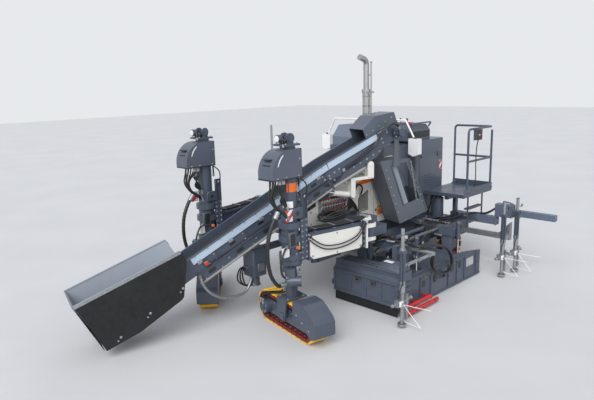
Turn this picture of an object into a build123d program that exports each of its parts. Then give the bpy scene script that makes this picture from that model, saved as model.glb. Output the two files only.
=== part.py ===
from build123d import *
import os
from math import atan2, cos, degrees, hypot, pi, radians, sin

# Offset slipform paver on four steerable tracks, millimetres.
# +X is the travel direction, +Y the machine's left side, +Z up, ground at Z = 0.
# Sizes are laid out from the front left column's axis on the ground; every piece is
# then moved so that the origin lies under the middle of the whole machine.

os.makedirs("parts", exist_ok=True)

ORIGIN_X = 1086
ORIGIN_Y = 329

# Stance of the four lifting columns
WHEELBASE = 3820
COLUMN_SPACING = 1830
REAR_LEFT_Y = -150
REAR_X = -WHEELBASE
RIGHT_Y = -COLUMN_SPACING

# Clearances
SEAT_GAP = 0.3
RUNNING_GAP = 0.05
GUIDE_GAP = 0.5
SWEEP_GAP = 8

# Crawler tracks
TRACK_HEIGHT = 440
PITCH_RADIUS = 163
CHAIN_THICKNESS = 33
CHAIN_WIDTH = 150
PAD_WIDTH = 270
PAD_LENGTH = 92
PAD_SINK = 4
PADS_ROUND_ENDS = 9
PADS_ALONG = 8
FRAME_PLATE = 16
FRAME_PLATE_HALF_HEIGHT = 98
ROLLER_RADIUS = 50
ROLLER_PITCH = 150
ROLLER_PLACES = (-1.5, -0.5, 0.5, 1.5)
TRACK_AXLE_RADIUS = 38
DRIVE_MOTOR_RADIUS = 104
DRIVE_MOTOR_REACH = 178
YOKE_PLATE = 24
YOKE_LENGTH = 230
YOKE_CROWN = 26
STEM_RADIUS = 82
FENDER_SHEET = 8
FENDER_WIDTH = 310
# Outside and inside corners of the fender, X then Z, from its rear lower corner
FENDER_OUTLINE = [(245, 330), (245, 512), (330, 534), (495, 520),
                  (700, 385), (738, 330), (738, 152), (640, 120)]
FENDER_ROOM = [(240, 320), (240, 504), (330, 526), (492, 512),
               (693, 379), (730, 327), (730, 60), (240, 60)]
STEER_FRONT_LEFT = 79
STEER_FRONT_RIGHT = 50

# Lifting columns and slewing drives
SLEEVE_RADIUS = 108
SLEEVE_BORE = 95
COLLAR_RADIUS = 116
SLEEVE_BOTTOM = 985
COLLAR_TOP = 1500
SLEEVE_TOP = 2430
REAR_SLEEVE_BOTTOM = 640
REAR_SLEEVE_TOP = 1170
LEG_OVERLAP = 900
REAR_LEG_OVERLAP = 480
SLEW_FLANGE_RADIUS = 148
SLEW_FLANGE_HEIGHT = 62
SLEW_HOUSING_RADIUS = 112
SLEW_HOUSING_HEIGHT = 105
SLEW_MOTOR_RADIUS = 70
SLEW_MOTOR_LENGTH = 190
HEAD_PLATE_LENGTH = 270
HEAD_PLATE = 60
EAR_RADIUS = 62
EAR_THICKNESS = 26
EAR_HEIGHT = 72
EAR_SPREAD = 124
LIFTING_EYE_RADIUS = 30
LAMP_RADIUS = 48
COVER_REACH = 385
COVER_BACK = 118
COVER_WIDTH = 270
COVER_BOTTOM = 2070
COVER_NOSE_RADIUS = 290
COVER_SHEET = 8

# Swing arms
PIVOT_SETBACK = 1380
PIVOT_SPREAD = 240
PIVOT_RADIUS = 35
PIVOT_BOSS_RADIUS = 78
PIVOT_BOSS_BOTTOM = 1045
PIVOT_BOSS_TOP = 1185
ARM_LENGTH = hypot(PIVOT_SETBACK, PIVOT_SPREAD)
ARM_ANGLE = degrees(atan2(PIVOT_SPREAD, PIVOT_SETBACK))
ARM_BOTTOM = 930
ARM_TOP = 1300
ARM_WIDTH = 200
ARM_OUTER_END = 225
ARM_ROOT = 165
FORK_PLATE = 55
CLAMP_HEIGHT = 80
CLAMP_LEVELS = (992, 1230, 1410)
CLAMP_RADIUS = 150
PANEL_SHEET = 14
PANEL_START = 262
PANEL_END = 1160
PANEL_MARGIN = 12
PANEL_DROP = 42
PANEL_CHAMFER = 48
SWING_PIN_REACH = 1010
SWING_PIN_OFFSET = 30
SWING_EYE_AHEAD = 130
SWING_EYE_ASIDE = 185
SWING_Z = 868
BARREL_RADIUS = 45
PISTON_ROD_RADIUS = 25
CYLINDER_EYE_RADIUS = 40
CYLINDER_PIN_RADIUS = 18
CYLINDER_EYE_HEIGHT = 50

# Chassis
BODY_LEFT = -450
BODY_RIGHT = -1950
BEAM_FRONT = -1410
BEAM_DEPTH = 250
BEAM_BOTTOM = 930
BEAM_TOP = 1280
RAIL_BOTTOM = 720
RAIL_WIDTH = 160
LEFT_RAIL = -495
RIGHT_RAIL = -1755
REAR_BOX_FRONT = -3500
REAR_BOX_LENGTH = 640
REAR_BOX_BOTTOM = 545
REAR_BOX_TOP = 800
REAR_BOX_LEFT = 300
SOCKET_RADIUS = 165
POST_X = -2150
POST_Y = -605
POST_RADIUS = 110
POST_TOP = 1780
CARRIER_BOTTOM = 780
CARRIER_TOP = 910
CARRIER_WIDTH = 140
FRONT_CARRIER_X = -1740
REAR_CARRIER_X = -2980
CARRIER_LEFT = 700
HANGER_PLACES = (-200, 560)

# Housings
PANEL_THICKNESS = 30
# Corners of the left side panel, X then Z
SIDE_PANEL_OUTLINE = [(-780, 1140), (-780, 1400), (-1285, 1540), (-1345, 1645), (-1610, 1760),
                      (-2330, 1760), (-2330, 2003), (-2860, 2003), (-2860, 935),
                      (-1900, 935), (-1000, 1080)]
FRONT_HOUSING_RIGHT = -1680
BEARER_PLACES = (-2560, -3080)
ENGINE_FRONT = -2300
ENGINE_REAR = -3380
ENGINE_TOP = 2150
ENGINE_STEP = 1480
ENGINE_UPPER_FRONT = -2580
ENGINE_UPPER_RIGHT = -1600
ENGINE_BLOCK_FRONT = -2650
ENGINE_BLOCK_REAR = -3310
ENGINE_BLOCK_LEFT = -700
ENGINE_BLOCK_RIGHT = -1350
ENGINE_BLOCK_TOP = 1700
HOOD_PIN_RADIUS = 8
HOOD_KNUCKLE_RADIUS = 15
HOOD_KNUCKLE_OUT = 17
HOOD_HINGE_PLACES = (-2720, -3010)
HOOD_SHEET = 12
HOUSING_SHEET = 20
HOOD_FRONT = -2600
HOOD_REAR = -3140
HOOD_LEFT = -980
HOOD_RIGHT = -1560
HOOD_TOP = 2490
CABINET_FRONT = -3410
CABINET_REAR = -4300
CABINET_LEFT = -320
CABINET_RIGHT = -950
CABINET_BOTTOM = 1000
CABINET_TOP = 2200
CABINET_CORNER = 90
ARCH_X = -3180
ARCH_NEAR_Y = -221
ARCH_FAR_Y = -2200
ARCH_TOP = 2570
EXHAUST_X = -3300
EXHAUST_Y = -1350
EXHAUST_RADIUS = 52

# Operator deck
DECK_FRONT = -3620
DECK_REAR = -4620
DECK_RIGHT = -310
DECK_LEFT = 470
DECK_TOP = 1310
DECK_DEPTH = 62
TUBE_RADIUS = 19
RAIL_HEIGHT = 1090

# Conveyor, set out from the knee on the trough's rim line
CONVEYOR_SLEW = -15
LOWER_SLOPE = 26.5
UPPER_SLOPE = 22.5
KNEE_X = -1110
KNEE_Y = -490
KNEE_Z = 2100
TROUGH_WIDTH = 360
SIDE_SHEET = 12
SIDE_DEPTH = 262
STRIP_HEIGHT = 112
STRIP_SHEET = 6
LOWER_FRAME = 3700
LOWER_OPEN = 2370
UPPER_FRAME = 1400
UPPER_STRIP = 960
UPPER_CHORD = 840
CHORD_RADIUS = 45
CHORD_DEPTH = 290
BELT_WIDTH = 316
BELT_THICKNESS = 12
BELT_DROP = 95
DRUM_RADIUS = 60
DRUM_DEPTH = -BELT_DROP - BELT_THICKNESS - SEAT_GAP - DRUM_RADIUS
HEAD_DRUM_X = -1309
TAIL_DRUM_X = 3600
IDLER_RADIUS = 26
IDLER_PITCH = 480
IDLER_START = 200
TIE_RADIUS = 22
HOPPER_START = 2442
HOPPER_END = 3824
HOPPER_HALF_WIDTH = 311
HOPPER_REAR_TOP = 212
HOPPER_FRONT_TOP = 398
HOPPER_SHEET = 10
SKIRT_SHEET = 12
SKIRT_DROP = 350
TILT_X = -700
TILT_DROP = 405
TILT_PIN_RADIUS = 30
TILT_BASE_AHEAD = -480
TILT_BASE_Z = 1560
TILT_SIDE = 125
TILT_EYE_GAP = 3
TILT_EYE_X = 200
TILT_EYE_DROP = 390
TILT_BARREL = 330
TILT_INSIDE = 130
CHUTE_HINGE_X = -1290
CHUTE_HINGE_DROP = 235
CHUTE_PIN_RADIUS = 20
CHUTE_WALL = 8
CHUTE_WIDTH = 352

# Trimmer, mould and side form
TRIMMER_FRONT = -1190
TRIMMER_REAR = -1520
TRIMMER_RIGHT = -305
TRIMMER_LEFT = 855
TRIMMER_BOTTOM = 145
TRIMMER_FACE_TOP = 500
TRIMMER_TOP = 620
TRIMMER_SHEET = 12
DRUM_X = -1350
DRUM_Z = 200
TRIM_DRUM_RADIUS = 88
TRIM_DRUM_SHAFT = 30
PICK_REACH = 136
PICK_ROWS = 22
TRIMMER_GUIDE_PLACES = (0, 560)
MOULD_FRONT = -1625
MOULD_REAR = -3030
MOULD_RIGHT = -295
MOULD_LEFT = 720
MOULD_BOTTOM = 18
MOULD_TOP = 470
KERB_WIDTH = 420
KERB_CENTRE = 250
KERB_HEIGHT = 300
FUNNEL_X = -2560
FUNNEL_Y = 20
FUNNEL_TOP = 820
FUNNEL_LENGTH = 680
FUNNEL_WIDTH = 540
THROAT_LENGTH = 420
THROAT_WIDTH = 300
FUNNEL_SHEET = 12
MOULD_RIB_PLACES = (-1980, -2890)
SIDE_FORM_GUIDES = (-1720, -2300, -2940)
SIDE_FORM_OUTER = 780
SIDE_FORM_SHEET = 26
SIDE_FORM_FRONT = -1545
SIDE_FORM_REAR = -3660
SIDE_FORM_BOTTOM = 10
SIDE_FORM_TOP = 500

# Grade and steering sensor masts
MAST_RADIUS = 24
MAST_PAD_TOP = 1420
SENSOR_HEIGHT = 1250
FRONT_SENSOR_HEIGHT = 1330
SENSOR_FOOT = 30


def block(x0, x1, y0, y1, z0, z1):
    """A box between its limits."""
    size = (abs(x1 - x0), abs(y1 - y0), abs(z1 - z0))
    return Pos((x0 + x1) / 2, (y0 + y1) / 2, (z0 + z1) / 2) * Box(*size)


def rod(start, end, radius):
    """A round bar between two points."""
    way = Vector(*end) - Vector(*start)
    return Plane(origin=start, z_dir=way) * Cylinder(
        radius, way.length, align=(Align.CENTER, Align.CENTER, Align.MIN))


def upright(x, y, z0, z1, radius):
    """A vertical round bar."""
    return rod((x, y, z0), (x, y, z1), radius)


def side_face(points):
    """A face standing in the X, Z plane."""
    return make_face(Polyline(*[(x, 0, z) for x, z in points], close=True))


def side_shape(points, y0, y1):
    """An outline of X, Z points carried from y0 to y1."""
    return Pos(0, y0, 0) * extrude(side_face(points), amount=y1 - y0, dir=(0, 1, 0))


def front_shape(points, x0, x1):
    """An outline of Y, Z points carried from x0 to x1."""
    face = make_face(Polyline(*[(x0, y, z) for y, z in points], close=True))
    return extrude(face, amount=x1 - x0, dir=(1, 0, 0))


def plan_shape(points, z0, z1):
    """An outline of X, Y points carried from z0 to z1."""
    face = make_face(Polyline(*[(x, y, z0) for x, y in points], close=True))
    return extrude(face, amount=z1 - z0, dir=(0, 0, 1))


def bent_tube(points, radius, bend):
    """A round tube along a bent path."""
    path = FilletPolyline(*points, radius=bend)
    start = Plane(origin=path @ 0, z_dir=path % 0)
    return sweep(start * Circle(radius), path=path)


NODES = {}
TO_ORIGIN = Pos(ORIGIN_X, ORIGIN_Y, 0)


def keep(name, *shapes):
    """Collects the solids of one named piece in the machine's own frame."""
    solids = []
    for shape in shapes:
        solids.extend((TO_ORIGIN * shape).solids())
    NODES[name] = solids[0] if len(solids) == 1 else Compound(children=solids)


# Crawler track, drawn along X under its column's axis

CHAIN_INNER = PITCH_RADIUS - CHAIN_THICKNESS / 2
CHAIN_OUTER = PITCH_RADIUS + CHAIN_THICKNESS / 2
PAD_OUTER = TRACK_HEIGHT / 2
PAD_PITCH = 2 * pi * PITCH_RADIUS / PADS_ROUND_ENDS
HALF_CENTRES = PADS_ALONG * PAD_PITCH / 2
TRACK_AXLE_Z = PAD_OUTER
CROWN_BOTTOM = TRACK_HEIGHT + 6
CROWN_TOP = CROWN_BOTTOM + YOKE_CROWN


def stadium(radius, half_width):
    """A long disc round both end wheels."""
    middle = block(-HALF_CENTRES, HALF_CENTRES, -half_width, half_width,
                   TRACK_AXLE_Z - radius, TRACK_AXLE_Z + radius)
    for x in (-HALF_CENTRES, HALF_CENTRES):
        middle += rod((x, -half_width, TRACK_AXLE_Z), (x, half_width, TRACK_AXLE_Z), radius)
    return middle


def pad_location(step):
    """Where the pad at a step of the pitch sits, counted round the loop from the rear."""
    if step <= PADS_ALONG:
        return Pos(-HALF_CENTRES + step * PAD_PITCH, 0, TRACK_AXLE_Z)
    round_front = PADS_ALONG + PADS_ROUND_ENDS / 2
    if step < round_front:
        turn = (step - PADS_ALONG) * 360 / PADS_ROUND_ENDS
        return Pos(HALF_CENTRES, 0, TRACK_AXLE_Z) * Rot(0, -turn, 0)
    if step <= round_front + PADS_ALONG:
        along = HALF_CENTRES - (step - round_front) * PAD_PITCH
        return Pos(along, 0, TRACK_AXLE_Z) * Rot(0, 180, 0)
    turn = 180 + (step - round_front - PADS_ALONG) * 360 / PADS_ROUND_ENDS
    return Pos(-HALF_CENTRES, 0, TRACK_AXLE_Z) * Rot(0, -turn, 0)


def track_loop():
    """The chain band with its pads, one closed loop."""
    loop = stadium(CHAIN_OUTER, CHAIN_WIDTH / 2) - stadium(CHAIN_INNER, CHAIN_WIDTH)
    pad = block(-PAD_LENGTH / 2, PAD_LENGTH / 2, -PAD_WIDTH / 2, PAD_WIDTH / 2,
                -PAD_OUTER, -CHAIN_OUTER + PAD_SINK)
    pads = [pad_location(step) * pad for step in range(2 * PADS_ALONG + PADS_ROUND_ENDS)]
    return loop + pads


def fender():
    """The faceted cover over the track's front end, open below and behind."""
    half = FENDER_WIDTH / 2
    shell = side_shape(FENDER_OUTLINE, -half, half)
    return shell - side_shape(FENDER_ROOM, -half + FENDER_SHEET, half - FENDER_SHEET)


def track_frame(housing_bottom):
    """Stem, yoke, roller frame, wheels, drive motor and fender of one track."""
    half = CHAIN_WIDTH / 2 + SWEEP_GAP
    frame = block(-HALF_CENTRES, HALF_CENTRES, -60, 60, TRACK_AXLE_Z - 60, TRACK_AXLE_Z + 85)
    for side in (-1, 1):
        inner = side * half
        outer = side * (half + FRAME_PLATE)
        frame += block(-HALF_CENTRES, HALF_CENTRES, inner, outer,
                       TRACK_AXLE_Z - FRAME_PLATE_HALF_HEIGHT,
                       TRACK_AXLE_Z + FRAME_PLATE_HALF_HEIGHT)
        for x in (-HALF_CENTRES, HALF_CENTRES):
            frame += rod((x, inner, TRACK_AXLE_Z), (x, outer, TRACK_AXLE_Z),
                         FRAME_PLATE_HALF_HEIGHT)
    for x in (-HALF_CENTRES, HALF_CENTRES):
        frame += rod((x, -54, TRACK_AXLE_Z), (x, 54, TRACK_AXLE_Z), CHAIN_INNER - SEAT_GAP)
        frame += rod((x, -half, TRACK_AXLE_Z), (x, half, TRACK_AXLE_Z), TRACK_AXLE_RADIUS)
    roller_z = TRACK_AXLE_Z - CHAIN_INNER + ROLLER_RADIUS + SEAT_GAP
    for place in ROLLER_PLACES:
        x = place * ROLLER_PITCH
        frame += rod((x, -half, roller_z), (x, half, roller_z), ROLLER_RADIUS - 24)
        frame += rod((x, -54, roller_z), (x, 54, roller_z), ROLLER_RADIUS)
    frame += rod((-HALF_CENTRES, -half, TRACK_AXLE_Z),
                 (-HALF_CENTRES, -DRIVE_MOTOR_REACH, TRACK_AXLE_Z), DRIVE_MOTOR_RADIUS)
    # Yoke over the track, on its oscillation axle
    yoke_inner = PAD_WIDTH / 2 + SWEEP_GAP
    yoke_outer = yoke_inner + YOKE_PLATE
    frame += rod((0, -yoke_outer, TRACK_AXLE_Z), (0, yoke_outer, TRACK_AXLE_Z),
                 TRACK_AXLE_RADIUS)
    frame += block(-YOKE_LENGTH / 2, YOKE_LENGTH / 2, -yoke_outer, yoke_outer,
                   CROWN_BOTTOM, CROWN_TOP)
    cheek = [(-YOKE_LENGTH / 2, CROWN_BOTTOM), (-60, 165), (60, 165),
             (YOKE_LENGTH / 2, CROWN_BOTTOM)]
    frame += side_shape(cheek, yoke_inner, yoke_outer)
    frame += side_shape(cheek, -yoke_outer, -yoke_inner)
    frame += upright(0, 0, CROWN_TOP - 5, housing_bottom - SEAT_GAP, STEM_RADIUS)
    # Fender and its brackets inside the loop's end
    bracket = block(HALF_CENTRES - 40, HALF_CENTRES + 60, half, FENDER_WIDTH / 2 - 1,
                    TRACK_AXLE_Z - 50, TRACK_AXLE_Z + 50)
    frame += bracket
    frame += mirror(bracket, about=Plane.XZ)
    return frame + fender()


# Columns, legs and arms

def slew_levels(sleeve_bottom):
    """Top of the flange, top of the slewing housing and its bottom."""
    top = sleeve_bottom - SEAT_GAP
    shoulder = top - SLEW_FLANGE_HEIGHT
    return top, shoulder, shoulder - SLEW_HOUSING_HEIGHT


def lift_leg(x, y, sleeve_bottom, overlap, motor_angle=None):
    """The sliding tube with its flange, slewing housing and slewing motor."""
    top, shoulder, bottom = slew_levels(sleeve_bottom)
    leg = upright(x, y, top - 5, sleeve_bottom + overlap, SLEEVE_BORE - GUIDE_GAP)
    leg += upright(x, y, shoulder, top, SLEW_FLANGE_RADIUS)
    leg += upright(x, y, bottom, shoulder, SLEW_HOUSING_RADIUS)
    if motor_angle is None:
        return leg
    reach = STEM_RADIUS + SLEW_MOTOR_RADIUS + 40
    motor_z = bottom - SLEW_MOTOR_RADIUS - 10
    gearbox = block(60, reach + 50, -55, 55, bottom + 4, shoulder - 15)
    gearbox += block(reach - 50, reach + 50, -55, 55, motor_z - 55, shoulder - 15)
    motor = rod((reach, -55, motor_z), (reach, SLEW_MOTOR_LENGTH - 55, motor_z),
                SLEW_MOTOR_RADIUS)
    return leg + Pos(x, y, 0) * Rot(0, 0, motor_angle) * (gearbox + motor)


def arm_location(side):
    """The swing arm's own frame, X from the pivot to the column."""
    pivot_y = PIVOT_SPREAD if side > 0 else RIGHT_Y - PIVOT_SPREAD
    return Pos(-PIVOT_SETBACK, pivot_y, 0) * Rot(0, 0, -side * ARM_ANGLE)


def front_column(x, y, side):
    """Guide sleeve with its head, lamp and the clamps toward the swing arm."""
    column = upright(x, y, SLEEVE_BOTTOM, SLEEVE_TOP, SLEEVE_RADIUS)
    column += upright(x, y, SLEEVE_BOTTOM, COLLAR_TOP, COLLAR_RADIUS)
    half = HEAD_PLATE_LENGTH / 2
    head_top = SLEEVE_TOP + HEAD_PLATE
    column += block(x - half + 20, x + half, y - 115, y + 115, head_top - 24, head_top)
    column += upright(x, y, SLEEVE_TOP, head_top, SLEEVE_RADIUS - 10)
    eye_z = head_top + EAR_HEIGHT
    # The lamp stands level with the lifting eyes
    column += block(x + half - 26, x + half - 6, y - 12, y + 12, head_top - 2, eye_z)
    column += rod((x + half - 16, y, eye_z), (x + half + 42, y, eye_z), LAMP_RADIUS)
    for place in (-EAR_SPREAD / 2, EAR_SPREAD / 2):
        low = place - EAR_THICKNESS / 2
        high = place + EAR_THICKNESS / 2
        ear = block(-45, 45, low, high, head_top - 2, eye_z)
        ear += rod((0, low, eye_z), (0, high, eye_z), EAR_RADIUS)
        ear -= rod((0, low - 5, eye_z), (0, high + 5, eye_z), LIFTING_EYE_RADIUS)
        column += Pos(x, y, 0) * Rot(0, 0, -side * ARM_ANGLE) * ear
    for level in CLAMP_LEVELS:
        column += upright(x, y, level, level + CLAMP_HEIGHT, CLAMP_RADIUS)
        column += arm_location(side) * block(
            ARM_LENGTH - ARM_OUTER_END, ARM_LENGTH - 60, -ARM_WIDTH / 2 + 10,
            ARM_WIDTH / 2 - 10, level, level + CLAMP_HEIGHT)
    bore_top = SLEEVE_BOTTOM + LEG_OVERLAP + 30
    return column - upright(x, y, SLEEVE_BOTTOM - 1, bore_top, SLEEVE_BORE)


def nosed_face(back, reach, bottom, top, radius):
    """A side outline whose top front corner is one large arc."""
    corner = (reach - radius, 0, top - radius)
    edges = [Line((back, 0, bottom), (back, 0, top)),
             Line((back, 0, top), (reach - radius, 0, top)),
             Line((reach, 0, top - radius), (reach, 0, bottom)),
             Line((reach, 0, bottom), (back, 0, bottom))]
    middle = (corner[0] + radius * cos(pi / 4), 0, corner[2] + radius * sin(pi / 4))
    edges.append(ThreePointArc((reach - radius, 0, top), middle, (reach, 0, top - radius)))
    return make_face(edges)


def column_cover(x, y):
    """The nosed hood round the column's top, open below."""
    top = SLEEVE_TOP
    outer = nosed_face(-COVER_BACK, COVER_REACH, COVER_BOTTOM, top, COVER_NOSE_RADIUS)
    inner = nosed_face(-COVER_BACK + COVER_SHEET, COVER_REACH - COVER_SHEET,
                       COVER_BOTTOM - 50, top - COVER_SHEET, COVER_NOSE_RADIUS - COVER_SHEET)
    half = COVER_WIDTH / 2
    shell = Pos(0, -half, 0) * extrude(outer, amount=COVER_WIDTH, dir=(0, 1, 0))
    room = Pos(0, -half + COVER_SHEET, 0) * extrude(
        inner, amount=COVER_WIDTH - 2 * COVER_SHEET, dir=(0, 1, 0))
    shell -= room
    shell -= upright(0, 0, top - 50, top + 50, SLEEVE_RADIUS + SEAT_GAP)
    for drop in (105, 175):
        shell -= block(COVER_REACH - 120, COVER_REACH + 10, -70, 70, top - drop - 9, top - drop)
    return Pos(x, y, 0) * shell


def swing_arm(side):
    """The box arm with its bolted root flange and pivot fork, in its own frame."""
    half = ARM_WIDTH / 2
    end = ARM_LENGTH - ARM_OUTER_END
    arm = block(ARM_ROOT + 90, end, -half, half, ARM_BOTTOM, ARM_TOP)
    arm -= block(ARM_ROOT + 120, end - 30, -half - 1, -half + 24, ARM_BOTTOM + 30, ARM_TOP - 30)
    arm -= block(ARM_ROOT + 120, end - 30, half - 24, half + 1, ARM_BOTTOM + 30, ARM_TOP - 30)
    arm += block(ARM_ROOT, ARM_ROOT + 28, -half - 30, half + 30, ARM_BOTTOM - 10, ARM_TOP + 30)
    arm += block(ARM_ROOT + 40, ARM_ROOT + 62, -half - 20, half + 20, ARM_BOTTOM, ARM_TOP + 20)
    arm += block(ARM_ROOT, ARM_ROOT + 95, -half + 20, half - 20, ARM_BOTTOM + 20, ARM_TOP - 20)
    for low in (PIVOT_BOSS_BOTTOM - SEAT_GAP - FORK_PLATE, PIVOT_BOSS_TOP + SEAT_GAP):
        lug = block(0, ARM_ROOT + 5, -PIVOT_BOSS_RADIUS, PIVOT_BOSS_RADIUS,
                    low, low + FORK_PLATE)
        lug += upright(0, 0, low, low + FORK_PLATE, PIVOT_BOSS_RADIUS)
        arm += lug
    arm -= upright(0, 0, 900, 1400, PIVOT_RADIUS + RUNNING_GAP)
    # Clevis under the outer end for the swing cylinder
    pin_x = SWING_PIN_REACH
    pin_y = -side * SWING_PIN_OFFSET
    arm += upright(pin_x, pin_y, SWING_Z - CYLINDER_EYE_HEIGHT / 2 - 8, ARM_BOTTOM + 5,
                   CYLINDER_PIN_RADIUS)
    clevis_bottom = SWING_Z + CYLINDER_EYE_HEIGHT / 2 + SEAT_GAP
    arm += upright(pin_x, pin_y, clevis_bottom, ARM_BOTTOM + 5, CYLINDER_EYE_RADIUS + 8)
    return arm_location(side) * arm


def arm_panel(side):
    """The light panel with cut corners over the arm's recessed side."""
    z0 = ARM_BOTTOM + PANEL_MARGIN
    z1 = ARM_TOP - PANEL_DROP
    cut = PANEL_CHAMFER
    x0 = PANEL_START
    x1 = PANEL_END
    points = [(x0 + cut, z0), (x1 - cut, z0), (x1, z0 + cut), (x1, z1 - cut),
              (x1 - cut, z1), (x0 + cut, z1), (x0, z1 - cut), (x0, z0 + cut)]
    face = ARM_WIDTH / 2 + SEAT_GAP
    low, high = (face, face + PANEL_SHEET) if side > 0 else (-face - PANEL_SHEET, -face)
    return arm_location(side) * side_shape(points, low, high)


def swing_cylinder_ends(side):
    """Base pin and rod eye of a swing cylinder in the arm's own frame."""
    base = (SWING_PIN_REACH, -side * SWING_PIN_OFFSET, SWING_Z)
    eye = (SWING_EYE_AHEAD, -side * SWING_EYE_ASIDE, SWING_Z)
    return base, eye


def cylinder_barrel(base, eye, barrel_length, across):
    """A barrel with an eye on its base pin, bored for the rod."""
    way = (Vector(*eye) - Vector(*base)).normalized()
    start = Vector(*base) + way * 62
    stop = Vector(*base) + way * barrel_length
    half = across * (CYLINDER_EYE_HEIGHT / 2)
    low = Vector(*base) - half
    high = Vector(*base) + half
    barrel = rod(tuple(start), tuple(stop), BARREL_RADIUS)
    barrel += rod(tuple(low), tuple(high), CYLINDER_EYE_RADIUS)
    barrel += rod(base, tuple(start + way), BARREL_RADIUS / 2)
    barrel -= rod(tuple(start + way * 40), tuple(stop + way), PISTON_ROD_RADIUS + RUNNING_GAP)
    return barrel - rod(tuple(low - across), tuple(high + across),
                        CYLINDER_PIN_RADIUS + RUNNING_GAP)


def cylinder_rod(base, eye, barrel_length, across, inside):
    """A piston rod and its eye with a through pin."""
    way = (Vector(*eye) - Vector(*base)).normalized()
    start = Vector(*base) + way * (barrel_length - inside)
    half = across * (CYLINDER_EYE_HEIGHT / 2)
    piston = rod(tuple(start), tuple(Vector(*eye)), PISTON_ROD_RADIUS)
    piston += rod(tuple(Vector(*eye) - half), tuple(Vector(*eye) + half), CYLINDER_EYE_RADIUS)
    return piston + rod(tuple(Vector(*eye) - half * 1.3), tuple(Vector(*eye)),
                        CYLINDER_PIN_RADIUS)


# Chassis

def pivot_lug(side):
    """The boss and pin that a swing arm turns on."""
    y = PIVOT_SPREAD if side > 0 else RIGHT_Y - PIVOT_SPREAD
    beam_end = beam_limits()[1] if side > 0 else beam_limits()[0]
    x = -PIVOT_SETBACK
    lug = upright(x, y, PIVOT_BOSS_BOTTOM, PIVOT_BOSS_TOP, PIVOT_BOSS_RADIUS)
    lug += block(BEAM_FRONT - BEAM_DEPTH, x, beam_end - side * 5, y + side * PIVOT_BOSS_RADIUS,
                 PIVOT_BOSS_BOTTOM, PIVOT_BOSS_TOP)
    reach = SEAT_GAP + FORK_PLATE + 14
    lug += upright(x, y, PIVOT_BOSS_BOTTOM - reach, PIVOT_BOSS_TOP + reach, PIVOT_RADIUS)
    # Bracket for the swing cylinder's rod eye
    eye = arm_location(side) * Pos(SWING_EYE_AHEAD, -side * SWING_EYE_ASIDE, 0)
    ex, ey = eye.position.X, eye.position.Y
    low = SWING_Z + CYLINDER_EYE_HEIGHT / 2 + SEAT_GAP
    lug += block(BEAM_FRONT - 4, ex, ey - 34, ey + 34, low, low + 90)
    lug += upright(ex, ey, low, low + 90, 34)
    return lug


def beam_limits():
    """Right and left ends of the front cross beam."""
    left = PIVOT_SPREAD - PIVOT_BOSS_RADIUS - 17
    return RIGHT_Y - left, left


def front_beam():
    """The cross beam on the side rails with both arm pivots."""
    right, left = beam_limits()
    beam = block(BEAM_FRONT - BEAM_DEPTH, BEAM_FRONT, right, left,
                 BEAM_BOTTOM + SEAT_GAP, BEAM_TOP)
    for side in (-1, 1):
        beam += pivot_lug(side)
    return beam


def main_frame():
    """Side rails, rear box with its column sockets, conveyor post and engine bearers."""
    rear = REAR_BOX_FRONT - REAR_BOX_LENGTH
    frame = block(rear, REAR_BOX_FRONT, BODY_RIGHT, REAR_BOX_LEFT,
                  REAR_BOX_BOTTOM, REAR_BOX_TOP)
    for y in (LEFT_RAIL, RIGHT_RAIL):
        frame += block(REAR_BOX_FRONT - 5, BEAM_FRONT - 6, y - RAIL_WIDTH, y,
                       RAIL_BOTTOM, BEAM_BOTTOM)
    for y in (REAR_LEFT_Y, RIGHT_Y):
        frame -= upright(REAR_X, y, 500, 850, SLEEVE_RADIUS + SEAT_GAP)
        frame -= upright(REAR_X, y, 500, REAR_SLEEVE_BOTTOM + 20, SOCKET_RADIUS)
    slot_z = (REAR_BOX_BOTTOM + REAR_BOX_TOP) / 2 - 15
    for x in (REAR_BOX_FRONT - 230, REAR_BOX_FRONT - 330):
        frame -= rod((x, REAR_BOX_LEFT - 120, slot_z), (x, REAR_BOX_LEFT + 5, slot_z), 62)
    frame -= block(REAR_BOX_FRONT - 330, REAR_BOX_FRONT - 230, REAR_BOX_LEFT - 120,
                   REAR_BOX_LEFT + 5, slot_z - 62, slot_z + 62)
    # Conveyor post and the engine's bearers
    frame += upright(POST_X, POST_Y, RAIL_BOTTOM, POST_TOP, POST_RADIUS)
    frame += block(POST_X - 190, POST_X + 190, POST_Y - 190, LEFT_RAIL, RAIL_BOTTOM, BEAM_BOTTOM)
    for x in BEARER_PLACES:
        frame += block(x - 60, x + 60, RIGHT_RAIL - 5, LEFT_RAIL - 5, 840, BEAM_BOTTOM)
    return frame


def mould_carriers():
    """Transverse carriers with the mould's hangers and the trimmer's guide posts."""
    carriers = []
    for x in (FRONT_CARRIER_X, REAR_CARRIER_X):
        carrier = block(x - CARRIER_WIDTH / 2, x + CARRIER_WIDTH / 2, LEFT_RAIL + SEAT_GAP,
                        CARRIER_LEFT, CARRIER_BOTTOM, CARRIER_TOP)
        for y in HANGER_PLACES:
            carrier += block(x - 50, x + 50, y - 60, y + 60,
                             MOULD_TOP + SEAT_GAP, CARRIER_BOTTOM + 5)
        carriers.append(carrier)
    back = TRIMMER_REAR - SEAT_GAP
    for y in TRIMMER_GUIDE_PLACES:
        carriers[0] += block(back - 60, back, y - 40, y + 40, 300, CARRIER_TOP)
        carriers[0] += block(FRONT_CARRIER_X, back, y - 40, y + 40, CARRIER_BOTTOM, CARRIER_TOP)
    return carriers


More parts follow.
